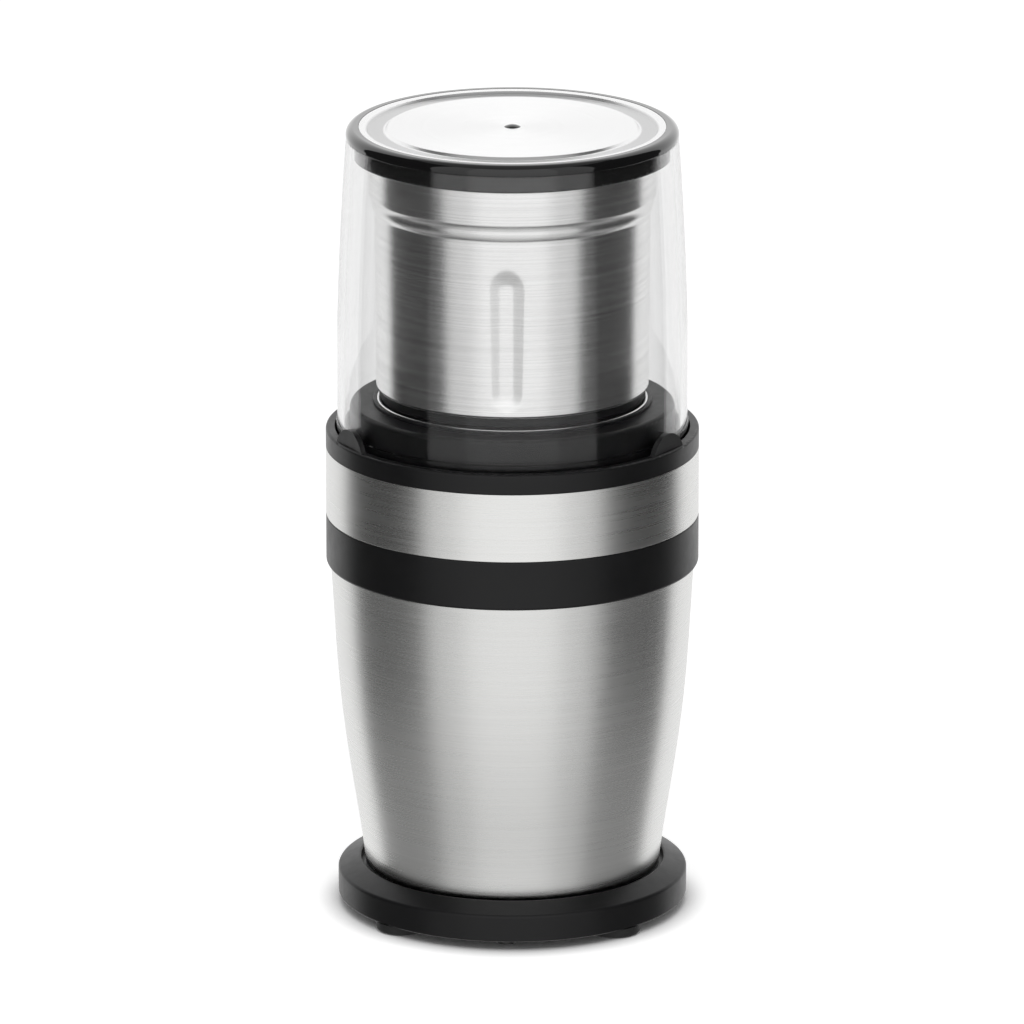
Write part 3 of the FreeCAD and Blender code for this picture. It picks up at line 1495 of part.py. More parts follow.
os.makedirs("parts", exist_ok=True)
for item in made:
    item.Shape.exportStep(f"parts/{item.Label}.step")
    print(item.Label, len(item.Shape.Solids), "solids", round(item.Shape.Volume / 1000, 2), "cm3")
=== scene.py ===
"""Dresses the electric spice grinder: turned steel, moulded black parts and a clear lid."""

import logging
import math
from dataclasses import dataclass, field
from enum import Enum

import bmesh
import bpy
import numpy as np
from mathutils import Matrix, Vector


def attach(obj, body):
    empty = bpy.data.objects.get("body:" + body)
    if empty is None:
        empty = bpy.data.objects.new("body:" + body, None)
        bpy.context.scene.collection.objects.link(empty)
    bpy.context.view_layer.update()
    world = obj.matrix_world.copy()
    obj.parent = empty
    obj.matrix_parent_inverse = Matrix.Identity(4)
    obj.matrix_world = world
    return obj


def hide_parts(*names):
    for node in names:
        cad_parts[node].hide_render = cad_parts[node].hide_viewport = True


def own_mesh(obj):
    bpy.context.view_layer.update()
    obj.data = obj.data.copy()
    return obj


LOG = logging.getLogger("spice_grinder")
MM = 0.001

Point = tuple[float, float]
Colour = tuple[float, float, float]


class Grain(Enum):
    """Which way the fine lines of a metal surface run."""

    AROUND = "around the axis, as on a drawn shell"
    TURNED = "in circles on a flat face, as on a turned disc"


@dataclass(frozen=True)
class Corner:
    """One corner of a turned outline: radius, height and the radius that rounds it, in mm."""

    r: float
    z: float
    bend: float = 0.0


class Nodes:
    """Builds one procedural material, node by node."""

    def __init__(self, name: str) -> None:
        """Make an empty material with a Principled shader.

        Args:
            name: the material's name.
        """
        self.material = bpy.data.materials.new(name)
        self.material.use_nodes = True
        self.tree = self.material.node_tree
        self.shader = self.tree.nodes["Principled BSDF"]
        self.output = self.tree.nodes["Material Output"]

    def add(self, kind: str, inputs: dict | None = None, **settings) -> bpy.types.Node:
        """Add a node.

        Args:
            kind: the node's type without the ShaderNode prefix.
            inputs: socket names or numbers with plain values or sockets to link.
            settings: properties of the node itself.

        Returns:
            The new node.
        """
        node = self.tree.nodes.new("ShaderNode" + kind)
        for name, value in settings.items():
            setattr(node, name, value)
        for name, value in (inputs or {}).items():
            self.feed(node.inputs[name], value)
        return node

    def feed(self, socket: bpy.types.NodeSocket, value) -> None:
        """Link a socket or set its plain value."""
        if isinstance(value, bpy.types.NodeSocket):
            self.tree.links.new(value, socket)
        else:
            socket.default_value = value

    def principled(self, **values) -> None:
        """Set the shader's sockets; underscores in a name stand for spaces."""
        for name, value in values.items():
            self.feed(self.shader.inputs[name.replace("_", " ")], value)

    def place(self) -> bpy.types.NodeSocket:
        """Return the position on the object, in metres."""
        return self.add("TexCoord").outputs["Object"]

    def stretched(self, scale: tuple[float, float, float]) -> bpy.types.NodeSocket:
        """Return the position scaled apart along X, Y and Z."""
        return self.add("Mapping", {"Vector": self.place(), "Scale": scale}).outputs[0]

    def polar(self, scale: tuple[float, float]) -> bpy.types.NodeSocket:
        """Return a position made of the radius and the height, so that it is alike all round.

        Args:
            scale: how much the radius and the height are stretched.

        Returns:
            The vector socket.
        """
        split = self.add("SeparateXYZ", {0: self.place()})
        flat = self.add("CombineXYZ", {0: split.outputs[0], 1: split.outputs[1]})
        length = self.add("VectorMath", {0: flat.outputs[0]}, operation="LENGTH")
        radius = self.math("MULTIPLY", length.outputs["Value"], scale[0])
        height = self.math("MULTIPLY", split.outputs[2], scale[1])
        return self.add("CombineXYZ", {0: radius, 1: height}).outputs[0]

    def noise(self, vector, scale: float, detail: float = 2.0,
              roughness: float = 0.5) -> bpy.types.NodeSocket:
        """Return the value of a noise texture."""
        inputs = {"Vector": vector, "Scale": scale, "Detail": detail, "Roughness": roughness}
        return self.add("TexNoise", inputs).outputs[0]

    def math(self, operation: str, first, second=0.0) -> bpy.types.NodeSocket:
        """Return the result of a Math node."""
        return self.add("Math", {0: first, 1: second}, operation=operation).outputs[0]

    def spread(self, value, low: float, high: float, start: float = 0.3,
               end: float = 0.7) -> bpy.types.NodeSocket:
        """Return a value mapped from start..end to low..high."""
        inputs = {"Value": value, "From Min": start, "From Max": end, "To Min": low, "To Max": high}
        return self.add("MapRange", inputs).outputs[0]

    def tint(self, colour: Colour, factor) -> bpy.types.NodeSocket:
        """Return a colour multiplied by a factor socket."""
        scaled = self.add("VectorMath", {0: colour, "Scale": factor}, operation="SCALE")
        return scaled.outputs[0]

    def mirrored(self) -> bpy.types.NodeSocket:
        """Return 1 for a ray that a glossy surface has sent on, else 0."""
        depth = self.add("LightPath").outputs["Glossy Depth"]
        return self.math("GREATER_THAN", depth, 0.5)

    def mixed(self, factor, first: bpy.types.Node, second: bpy.types.Node) -> bpy.types.NodeSocket:
        """Return a mix of two shader nodes."""
        return self.add("MixShader", {0: factor, 1: first.outputs[0], 2: second.outputs[0]}).outputs[0]

    def bump(self, height, distance: float, strength: float = 1.0, normal=None) -> bpy.types.NodeSocket:
        """Return a bumped normal, on top of another one if it is given."""
        inputs = {"Height": height, "Distance": distance, "Strength": strength}
        if normal is not None:
            inputs["Normal"] = normal
        return self.add("Bump", inputs).outputs[0]


@dataclass(frozen=True)
class BrushedSteel:
    """Stainless steel with fine lines brushed into it."""

    name: str
    colour: Colour = (0.84, 0.84, 0.826)
    shine: float = 0.26
    grain: Grain = Grain.AROUND
    line_depth: float = 8e-7
    contrast: float = 0.05
    # Radii in mm of the stamped groove, made rougher and darkened with painted shade.
    dull_ring: tuple[float, float] = (0.0, 0.0)

    def material(self) -> bpy.types.Material:
        """Build the finish.

        Returns:
            The procedural material.
        """
        nodes = Nodes(self.name)
        if self.grain is Grain.AROUND:
            fine = nodes.noise(nodes.stretched((14, 14, 2600)), 1.0, 3, 0.6)
            long = nodes.noise(nodes.stretched((7, 7, 1100)), 1.0, 2, 0.55)
        else:
            fine = nodes.noise(nodes.polar((3800, 0)), 1.0, 3, 0.6)
            long = nodes.noise(nodes.polar((700, 0)), 1.0, 2, 0.5)
        cloud = nodes.noise(nodes.place(), 28, 3, 0.6)
        lines = nodes.math("ADD", nodes.math("MULTIPLY", fine, 0.62), nodes.math("MULTIPLY", long, 0.38))
        streaks = nodes.spread(lines, 1 - self.contrast, 1 + self.contrast * 0.8)
        shade = nodes.math("MULTIPLY", streaks, nodes.spread(cloud, 0.98, 1.015))
        dull = nodes.spread(cloud, self.shine, self.shine + 0.03)
        rough = nodes.math("ADD", nodes.spread(lines, -0.02, 0.025), dull)
        # Painted shade in the stamped groove: between these radii the colour is darkened by about a
        # quarter, and the roughness is raised for a matt finish.
        if self.dull_ring[1]:
            radius = nodes.add("SeparateXYZ", {0: nodes.polar((1000, 1000))}).outputs[0]
            low, high = self.dull_ring
            rising = nodes.spread(radius, 0, 1, low, low + 0.5)
            inside = nodes.math("MULTIPLY", rising, nodes.spread(radius, 1, 0, high - 0.5, high))
            shade = nodes.math("MULTIPLY", shade, nodes.spread(inside, 1.0, 0.74, 0, 1))
            rough = nodes.math("ADD", rough, nodes.math("MULTIPLY", inside, 0.08))
        nodes.principled(
            Base_Color=nodes.tint(self.colour, shade),
            Metallic=1.0,
            Roughness=rough,
            Anisotropic=0.55,
            Normal=nodes.bump(lines, self.line_depth, 0.2),
        )
        if self.grain is Grain.AROUND:
            tangent = nodes.add("Tangent", direction_type="RADIAL", axis="Z")
            nodes.principled(Tangent=tangent.outputs[0])
        return nodes.material


@dataclass(frozen=True)
class PolishedSteel:
    """Bright steel with faint turning marks and a few fine scratches."""

    name: str
    colour: Colour = (0.86, 0.86, 0.86)
    shine: float = 0.1

    def material(self) -> bpy.types.Material:
        """Build the finish.

        Returns:
            The procedural material.
        """
        nodes = Nodes(self.name)
        marks = nodes.noise(nodes.polar((2400, 900)), 1.0, 3, 0.6)
        cloud = nodes.noise(nodes.place(), 45, 3, 0.6)
        scratch = nodes.noise(nodes.stretched((60, 2200, 300)), 1.0, 2, 0.5)
        keen = nodes.spread(scratch, 0.0, 0.05, 0.66, 0.72)
        rough = nodes.math("ADD", nodes.spread(marks, self.shine - 0.02, self.shine + 0.04), keen)
        nodes.principled(
            Base_Color=nodes.tint(self.colour, nodes.spread(cloud, 0.96, 1.03)),
            Metallic=1.0,
            Roughness=rough,
            Normal=nodes.bump(marks, 1.5e-6, 0.35),
        )
        return nodes.material


@dataclass(frozen=True)
class Moulded:
    """Moulded plastic with a fine skin and slight unevenness of its gloss."""

    name: str
    colour: Colour = (0.0075, 0.0075, 0.008)
    shine: float = 0.34
    skin: float = 1.6e-5
    skin_scale: float = 2600.0
    specular: float = 0.28
    coat: float = 0.0

    def material(self) -> bpy.types.Material:
        """Build the finish.

        Returns:
            The procedural material.
        """
        nodes = Nodes(self.name)
        skin = nodes.noise(nodes.place(), self.skin_scale, 2, 0.5)
        cloud = nodes.noise(nodes.place(), 40, 4, 0.6)
        wear = nodes.noise(nodes.place(), 320, 3, 0.65)
        rough = nodes.math("ADD", nodes.spread(cloud, self.shine - 0.03, self.shine + 0.04),
                           nodes.spread(wear, -0.02, 0.03))
        nodes.principled(
            Base_Color=nodes.tint(self.colour, nodes.spread(cloud, 0.85, 1.18)),
            Roughness=rough,
            Specular_IOR_Level=self.specular,
            Coat_Weight=self.coat,
            Coat_IOR=1.4,
            Coat_Roughness=0.03,
            Normal=nodes.bump(skin, self.skin, 0.5),
        )
        return nodes.material


@dataclass(frozen=True)
class ClearPlastic:
    """Clear moulded wall with faint flow lines and finger haze."""

    name: str
    colour: Colour = (0.99, 0.99, 0.99)
    depth_tint: float = 17.0
    glare: float = 0.5

    def material(self) -> bpy.types.Material:
        """Build the finish, which lets light through to what it covers.

        Returns:
            The procedural material.
        """
        nodes = Nodes(self.name)
        flow = nodes.noise(nodes.stretched((60, 60, 6)), 1.0, 2, 0.5)
        haze = nodes.noise(nodes.place(), 55, 4, 0.6)
        nodes.principled(
            Base_Color=nodes.tint(self.colour, nodes.spread(haze, 0.985, 1.0)),
            Roughness=nodes.spread(haze, 0.0, 0.035, 0.45, 0.8),
            Transmission_Weight=1.0,
            IOR=1.49,
            Specular_Tint=(self.glare, self.glare, self.glare, 1.0),
            Normal=nodes.bump(flow, 1.2e-5, 0.12),
        )
        passed = nodes.add("LightPath").outputs["Is Shadow Ray"]
        open_shader = nodes.add("BsdfTransparent", {"Color": (0.93, 0.93, 0.93, 1.0)})
        nodes.feed(nodes.output.inputs["Surface"], nodes.mixed(passed, nodes.shader, open_shader))
        inside = nodes.add("VolumeAbsorption", {"Color": (0, 0, 0, 1), "Density": self.depth_tint})
        nodes.feed(nodes.output.inputs["Volume"], inside.outputs[0])
        return nodes.material


@dataclass(frozen=True)
class PlainMetal:
    """Cast, plated or wound metal of an inner part."""

    name: str
    colour: Colour
    shine: float = 0.35
    layer_scale: float = 0.0
    metal: float = 1.0

    def material(self) -> bpy.types.Material:
        """Build the finish.

        Returns:
            The procedural material.
        """
        nodes = Nodes(self.name)
        cloud = nodes.noise(nodes.place(), 160, 4, 0.6)
        grain = nodes.noise(nodes.place(), 1800, 2, 0.5)
        shade = nodes.spread(cloud, 0.82, 1.12)
        height = grain
        if self.layer_scale:
            layers = nodes.noise(nodes.polar((0, self.layer_scale)), 1.0, 1, 0.4)
            shade = nodes.math("MULTIPLY", shade, nodes.spread(layers, 0.72, 1.1))
            height = layers
        nodes.principled(
            Base_Color=nodes.tint(self.colour, shade),
            Metallic=self.metal,
            Roughness=nodes.spread(cloud, self.shine, self.shine + 0.15),
            Normal=nodes.bump(height, 2e-5, 0.5),
        )
        return nodes.material


def rounded(corners: list[Corner], per_turn: int = 56) -> list[Point]:
    """Round the corners of a closed outline.

    Args:
        corners: the outline's corners in order.
        per_turn: how many points a whole turn of a rounding would get.

    Returns:
        The points of the rounded outline.
    """
    points = []
    for index, corner in enumerate(corners):
        here = Vector((corner.r, corner.z))
        if not corner.bend:
            points.append((here.x, here.y))
            continue
        before, after = corners[index - 1], corners[(index + 1) % len(corners)]
        back = (Vector((before.r, before.z)) - here).normalized()
        ahead = (Vector((after.r, after.z)) - here).normalized()
        half = back.angle(ahead) / 2
        centre = here + (back + ahead).normalized() * corner.bend / math.sin(half)
        start = here + back * corner.bend / math.tan(half) - centre
        end = here + ahead * corner.bend / math.tan(half) - centre
        sweep = math.atan2(start.x * end.y - start.y * end.x, start.dot(end))
        first = math.atan2(start.y, start.x)
        steps = max(3, math.ceil(abs(sweep) / math.tau * per_turn))
        for step in range(steps + 1):
            angle = first + sweep * step / steps
            ray = Vector((math.cos(angle), math.sin(angle)))
            points.append(tuple(centre + ray * corner.bend))
    return points


def finished(mesh: bpy.types.Mesh, name: str, crease: float = 34.0) -> bpy.types.Object:
    """Make a smooth-shaded object of a mesh, with its sharp edges kept.

    Args:
        mesh: the mesh, in metres.
        name: the piece's name.
        crease: the angle in degrees above which an edge stays sharp.

    Returns:
        The new object.
    """
    mesh.validate()
    mesh.shade_smooth()
    mesh.set_sharp_from_angle(angle=math.radians(crease))
    piece = bpy.data.objects.new(name, mesh)
    bpy.context.collection.objects.link(piece)
    weights = piece.modifiers.new("even_faces", "WEIGHTED_NORMAL")
    weights.keep_sharp = True
    return piece


def lathe(name: str, outline: list[Point], count: int = 192, closed: bool = True) -> bpy.types.Object:
    """Turn an outline about the upright axis.

    Args:
        name: the piece's name.
        outline: radius and height of each point in mm.
        count: how many steps go round.
        closed: whether the last point joins the first.

    Returns:
        The turned piece.
    """
    rows = np.array(outline, float) * MM
    turn = np.arange(count) * math.tau / count
    verts = [(r * math.cos(a), r * math.sin(a), z) for r, z in rows for a in turn]
    faces = []
    for row in range(len(rows) if closed else len(rows) - 1):
        low, high = row * count, (row + 1) % len(rows) * count
        for step in range(count):
            after = (step + 1) % count
            faces.append((low + step, low + after, high + after, high + step))
    mesh = bpy.data.meshes.new(name)
    mesh.from_pydata(verts, [], faces)
    form = bmesh.new()
    form.from_mesh(mesh)
    bmesh.ops.remove_doubles(form, verts=form.verts, dist=1e-7)
    bmesh.ops.recalc_face_normals(form, faces=form.faces)
    form.to_mesh(mesh)
    form.free()
    return finished(mesh, name)


def arc_between(start: Point, end: Point, curve: float, steps: int = 8) -> list[Point]:
    """Return points on an arc between two points; a positive curve bulges to the right of the way."""
    a, b = Vector(start), Vector(end)
    way = b - a
    side = Vector((way.y, -way.x)).normalized() * (1 if curve > 0 else -1)
    radius = abs(curve)
    centre = (a + b) / 2 - side * math.sqrt(max(radius ** 2 - way.length_squared / 4, 0))
    first, last = a - centre, b - centre
    sweep = math.atan2(first.x * last.y - first.y * last.x, first.dot(last))
    begin = math.atan2(first.y, first.x)
    angles = [begin + sweep * step / steps for step in range(steps + 1)]
    return [(centre.x + radius * math.cos(t), centre.y + radius * math.sin(t)) for t in angles]


@dataclass(frozen=True)
class Finishes:
    """The finish of each material slot of the part."""

    brushed: BrushedSteel = BrushedSteel("brushed_steel")
    pressed: BrushedSteel = BrushedSteel(
        "pressed_steel", (0.96, 0.96, 0.955), 0.2, Grain.AROUND, 6e-7, 0.11)
    spun: BrushedSteel = BrushedSteel(
        "spun_steel", (0.97, 0.97, 0.97), 0.22, Grain.TURNED, 1.5e-6, 0.05, (38.9, 44.5))
    polished: PolishedSteel = PolishedSteel("polished_steel")
    black: Moulded = Moulded("black_plastic")
    glossy: Moulded = Moulded("glossy_black", (0.004, 0.004, 0.0042), 0.05, 1.5e-6, 900.0, 0.3, 1.0)
    carrier: Moulded = Moulded("carrier_black", (0.006, 0.006, 0.006), 0.14, 3e-6, 1400.0, 1.0)
    rubber: Moulded = Moulded("black_rubber", (0.02, 0.02, 0.02), 0.62, 3e-5, 3200.0, 0.35)
    inner: Moulded = Moulded("inner_plastic", (0.05, 0.05, 0.052), 0.45)
    clear: ClearPlastic = ClearPlastic("clear_plastic")
    screw: PlainMetal = PlainMetal("screw_steel", (0.55, 0.55, 0.56), 0.3)
    dark_screw: PlainMetal = PlainMetal("dark_screw", (0.05, 0.05, 0.05), 0.4)
    brass: PlainMetal = PlainMetal("brass", (0.72, 0.52, 0.24), 0.28)
    aluminium: PlainMetal = PlainMetal("aluminium", (0.72, 0.73, 0.74), 0.4)
    iron: PlainMetal = PlainMetal("laminated_iron", (0.3, 0.3, 0.31), 0.4, 3000.0)
    copper: PlainMetal = PlainMetal("copper", (0.72, 0.33, 0.16), 0.3, 2200.0)
    carbon: PlainMetal = PlainMetal("carbon", (0.03, 0.03, 0.03), 0.6, 0.0, 0.0)
    board: PlainMetal = PlainMetal("board_green", (0.02, 0.12, 0.045), 0.35, 0.0, 0.0)

    def by_slot(self) -> dict[str, bpy.types.Material]:
        """Build every finish once.

        Returns:
            The materials by the name of their finish.
        """
        kinds = [getattr(self, name) for name in self.__dataclass_fields__]
        return {kind.name: kind.material() for kind in kinds}


@dataclass
class SubAssembly:
    """Pieces that are built together and dressed from one set of finishes."""

    finishes: dict[str, bpy.types.Material]
    made: list[bpy.types.Object] = field(default_factory=list, init=False)

    def add(self, piece: bpy.types.Object, body: str, finish: str, slot: str,
            *nodes: str) -> bpy.types.Object:
        """Finish a piece and put it on its body.

        Args:
            piece: the object that was built.
            body: the body that it moves with.
            finish: the name of its finish.
            slot: the record's material slot; not used.
            nodes: the frame's nodes that it stands for.

        Returns:
            The same piece.
        """
        piece.data.materials.clear()
        piece.data.materials.append(self.finishes[finish])
        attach(piece, body)
        if nodes:
            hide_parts(*nodes)
        self.made.append(piece)
        return piece

    def paint(self, finish: str, *nodes: str) -> None:
        """Give nodes of the frame, whose shape is kept, their finish."""
        for name in nodes:
            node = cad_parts[name]
            for slot in node.material_slots:
                slot.material = self.finishes[finish]
            self.made.append(node)

    def build(self) -> list[bpy.types.Object]:
        """Build the pieces.

        Returns:
            Every piece that was built or finished.
        """
        raise NotImplementedError


@dataclass
class Foot(SubAssembly):
    """The black base ring with its cover, screws and rubber feet."""

    radius: float = 53.7
    low: float = 3.0
    side_top: float = 11.2
    mouth: float = 46.5
    mouth_top: float = 14.5
    ledge: float = 12.0
    ledge_low: float = 9.6
    ledge_radius: float = 31.5
    wall: float = 2.4
    edge: float = 0.6

    def ring(self) -> bpy.types.Object:
        """Build the base ring."""
        inner = self.radius - self.wall
        return lathe("base_ring_piece", rounded([
            Corner(inner, self.low),
            Corner(self.radius, self.low, self.edge),
            Corner(self.radius, self.side_top, self.edge * 2),
            Corner(self.mouth, self.mouth_top, self.edge),
            Corner(self.mouth, self.ledge),
            Corner(self.ledge_radius, self.ledge),
            Corner(self.ledge_radius, self.ledge_low),
            Corner(inner, self.ledge_low),
        ]))

    def build(self) -> list[bpy.types.Object]:
        """Build the base."""
        self.add(self.ring(), "root", "black_plastic", "black_plastic", "base_ring")
        self.paint("black_plastic", "bottom_cover")
        self.paint("black_rubber", "rubber_feet")
        self.paint("dark_screw", "cover_screws")
        self.paint("screw_steel", "base_screws")
        return self.made


@dataclass
class Housing(SubAssembly):
    """The steel shell with the black and steel bands at its top and the cord gland."""

    shell_top: float = 110.7
    shell_radius: float = 55.8
    band_radius: float = 57.0
    band_low: float = 109.2
    band_high: float = 124.5
    band_round: float = 1.0
    steel_top: float = 145.6
    steel_wall: float = 1.0
    hem: float = 0.2
    band_bore: float = 42.0
    band_flange: float = 2.4
    band_hollow: float = 53.3
    seat_gap: float = 0.1

    def black_band(self) -> bpy.types.Object:
        """Build the black ring under the steel band."""
        seat = self.shell_radius + self.seat_gap
        return lathe("black_band_piece", rounded([
            Corner(seat, self.band_low),
            Corner(self.band_radius, self.band_low, self.band_round),
            Corner(self.band_radius, self.band_high, self.band_round * 0.6),
            Corner(self.band_bore, self.band_high),
            Corner(self.band_bore, self.band_high - self.band_flange),
            Corner(self.band_hollow, self.band_high - self.band_flange),
            Corner(self.band_hollow, self.shell_top),
            Corner(seat, self.shell_top),
        ]))

    def steel_band(self) -> bpy.types.Object:
        """Build the brushed band."""
        inner = self.band_radius - self.steel_wall
        return lathe("steel_band_piece", rounded([
            Corner(inner, self.band_high),
            Corner(self.band_radius, self.band_high, self.hem),
            Corner(self.band_radius, self.steel_top, self.hem),
            Corner(inner, self.steel_top),
        ]))

    def build(self) -> list[bpy.types.Object]:
        """Build the housing."""
        self.add(self.black_band(), "root", "black_plastic", "black_plastic", "black_band")
        self.add(self.steel_band(), "root", "brushed_steel", "brushed_steel", "steel_band")
        self.paint("brushed_steel", "body_shell")
        self.paint("inner_plastic", "inner_casing")
        self.paint("black_rubber", "cord_gland")
        return self.made


@dataclass
class Collar(SubAssembly):
    """The black collar with the lid groove, the platform, the well and the locking ears."""

    trim_low: float = 160.4
    trim_high: float = 161.6
    trim_inner: float = 40.2
    trim_outer: float = 41.3
    trim_round: float = 0.45

    def trim(self) -> bpy.types.Object:
        """Build the bright ring in the mouth of the well."""
        return lathe("well_trim_ring_piece", rounded([
            Corner(self.trim_inner, self.trim_low),
            Corner(self.trim_outer, self.trim_low),
            Corner(self.trim_outer, self.trim_high, self.trim_round),
            Corner(self.trim_inner, self.trim_high, self.trim_round),
        ]))

    def build(self) -> list[bpy.types.Object]:
        """Build the collar."""
        self.paint("black_plastic", "top_collar")
        self.add(self.trim(), "root", "polished_steel", "polished_steel", "well_trim_ring")
        self.paint("screw_steel", "collar_screws")
        return self.made


@dataclass
class Lid(SubAssembly):
    """The clear lid with its rim ring, cap disc, centre plug, seal carrier and seal."""

    foot_radius: float = 53.75
    foot_z: float = 147.8
    straight_top: float = 154.8
    top_z: float = 242.4
    narrowing: float = 3.25
    wall: float = 2.4
    hem: float = 0.6
    foot_step_z: float = 153.6
    foot_step: float = 0.3
    rim_radius: float = 50.6
    rim_bore: float = 45.7
    rim_top: float = 245.7
    rim_round: float = 2.4
    cap_radius: float = 46.6
    cap_low: float = 244.6
    cap_high: float = 245.4
    cap_hem: float = 0.24
    cap_hem_width: float = 1.0
    cap_bend: float = 0.5
    cap_gap: float = 0.05
    groove_outer: float = 43.7
    groove_inner: float = 38.6
    groove_depth: float = 0.9
    carrier_radius: float = 47.8
    carrier_bore: float = 44.8
    carrier_low: float = 236.9
    carrier_top: float = 243.6
    carrier_gap: float = 0.1
    seal_drop: float = 0.6
    stem: float = 1.5
    plug_radius: float = 2.5
    plug_rise: float = 0.69
    plug_curve: float = 4.88

    def wall_line(self, inset: float) -> list[Point]:
        """Return the curved line of the wall above the straight foot, from the foot up."""
        shares = np.linspace(0, 1, 40)
        rise = self.top_z - self.straight_top
        foot = self.foot_radius - inset
        return [(foot - self.narrowing * s * s, self.straight_top + rise * s) for s in shares]

    def cover(self) -> bpy.types.Object:
        """Build the clear wall, with a fine step above its foot."""
        inner = self.foot_radius - self.wall
        above = self.foot_radius - self.foot_step
        foot = rounded([
            Corner(inner, self.foot_z, self.hem),
            Corner(self.foot_radius, self.foot_z, self.hem),
            Corner(self.foot_radius, self.foot_step_z, self.foot_step / 2),
            Corner(above, self.foot_step_z + self.foot_step, self.foot_step / 2),
            Corner(above, self.straight_top),
            Corner(inner, self.straight_top),
        ])
        outside = [(min(r, above), z) for r, z in self.wall_line(0)[1:]]
        inside = list(reversed(self.wall_line(self.wall)))[:-1]
        return lathe("lid_cover_piece", foot[:-1] + outside + inside + foot[-1:])

    def rim(self) -> bpy.types.Object:
        """Build the glossy black ring on the wall."""
        seat = self.cap_radius + self.cap_gap
        return lathe("lid_rim_ring_piece", rounded([
            Corner(self.rim_bore, self.top_z),
            Corner(self.rim_radius, self.top_z, 0.3),
            Corner(self.rim_radius, self.rim_top, self.rim_round),
            Corner(seat, self.rim_top, 0.2),
            Corner(seat, self.cap_low),
            Corner(self.rim_bore, self.cap_low),
        ], 96))

    def cap(self) -> bpy.types.Object:
        """Build the steel cap disc with its stamped ring."""
        drop = self.groove_depth
        bend = self.cap_bend
        hem_top = self.cap_high + self.cap_hem
        return lathe("lid_cap_disc_piece", rounded([
            Corner(self.stem, self.cap_low),
            Corner(self.groove_inner - drop, self.cap_low, bend),
            Corner(self.groove_inner, self.cap_low - drop, bend),
            Corner(self.groove_outer, self.cap_low - drop, bend),
            Corner(self.groove_outer + drop, self.cap_low, bend),
            Corner(self.cap_radius, self.cap_low),
            Corner(self.cap_radius, hem_top, 0.12),
            Corner(self.cap_radius - self.cap_hem_width, hem_top, 0.3),
            Corner(self.groove_outer + drop, self.cap_high, bend),
            Corner(self.groove_outer, self.cap_high - drop, bend),
            Corner(self.groove_inner, self.cap_high - drop, bend),
            Corner(self.groove_inner - drop, self.cap_high, bend),
            Corner(self.stem, self.cap_high),
        ]))

    def carrier(self) -> bpy.types.Object:
        """Build the black carrier with its skirt."""
        seal_top = self.top_z - self.seal_drop
        step = self.rim_bore - self.carrier_gap
        return lathe("seal_carrier_piece", rounded([
            Corner(self.carrier_bore, self.carrier_low, 0.3),
            Corner(self.carrier_radius, self.carrier_low, 0.6),
            Corner(self.carrier_radius, self.top_z),
            Corner(step, self.top_z),
            Corner(step, self.carrier_top),
            Corner(self.stem, self.carrier_top),
            Corner(self.stem, seal_top),
            Corner(self.carrier_bore, seal_top),
        ]))

    def plug(self) -> bpy.types.Object:
        """Build the domed plug in the middle of the cap."""
        edge, crown = (self.plug_radius, self.cap_high), (0.0, self.cap_high + self.plug_rise)
        dome = arc_between(edge, crown, self.plug_curve)
        stem = self.stem - self.cap_gap
        foot = [(0.0, self.top_z), (stem, self.top_z), (stem, self.cap_high)]
        return lathe("lid_plug_piece", foot + dome, 64, False)

    def build(self) -> list[bpy.types.Object]:
        """Build the lid."""
        self.add(self.cover(), "lid", "clear_plastic", "clear_plastic", "lid_cover")
        self.add(self.rim(), "lid", "glossy_black", "glossy_black", "lid_rim_ring")
        self.add(self.cap(), "lid", "spun_steel", "polished_steel", "lid_cap_disc")
        self.add(self.plug(), "lid", "glossy_black", "glossy_black", "lid_plug")
        self.add(self.carrier(), "lid", "carrier_black", "black_plastic", "seal_carrier")
        self.paint("black_rubber", "lid_seal")
        return self.made


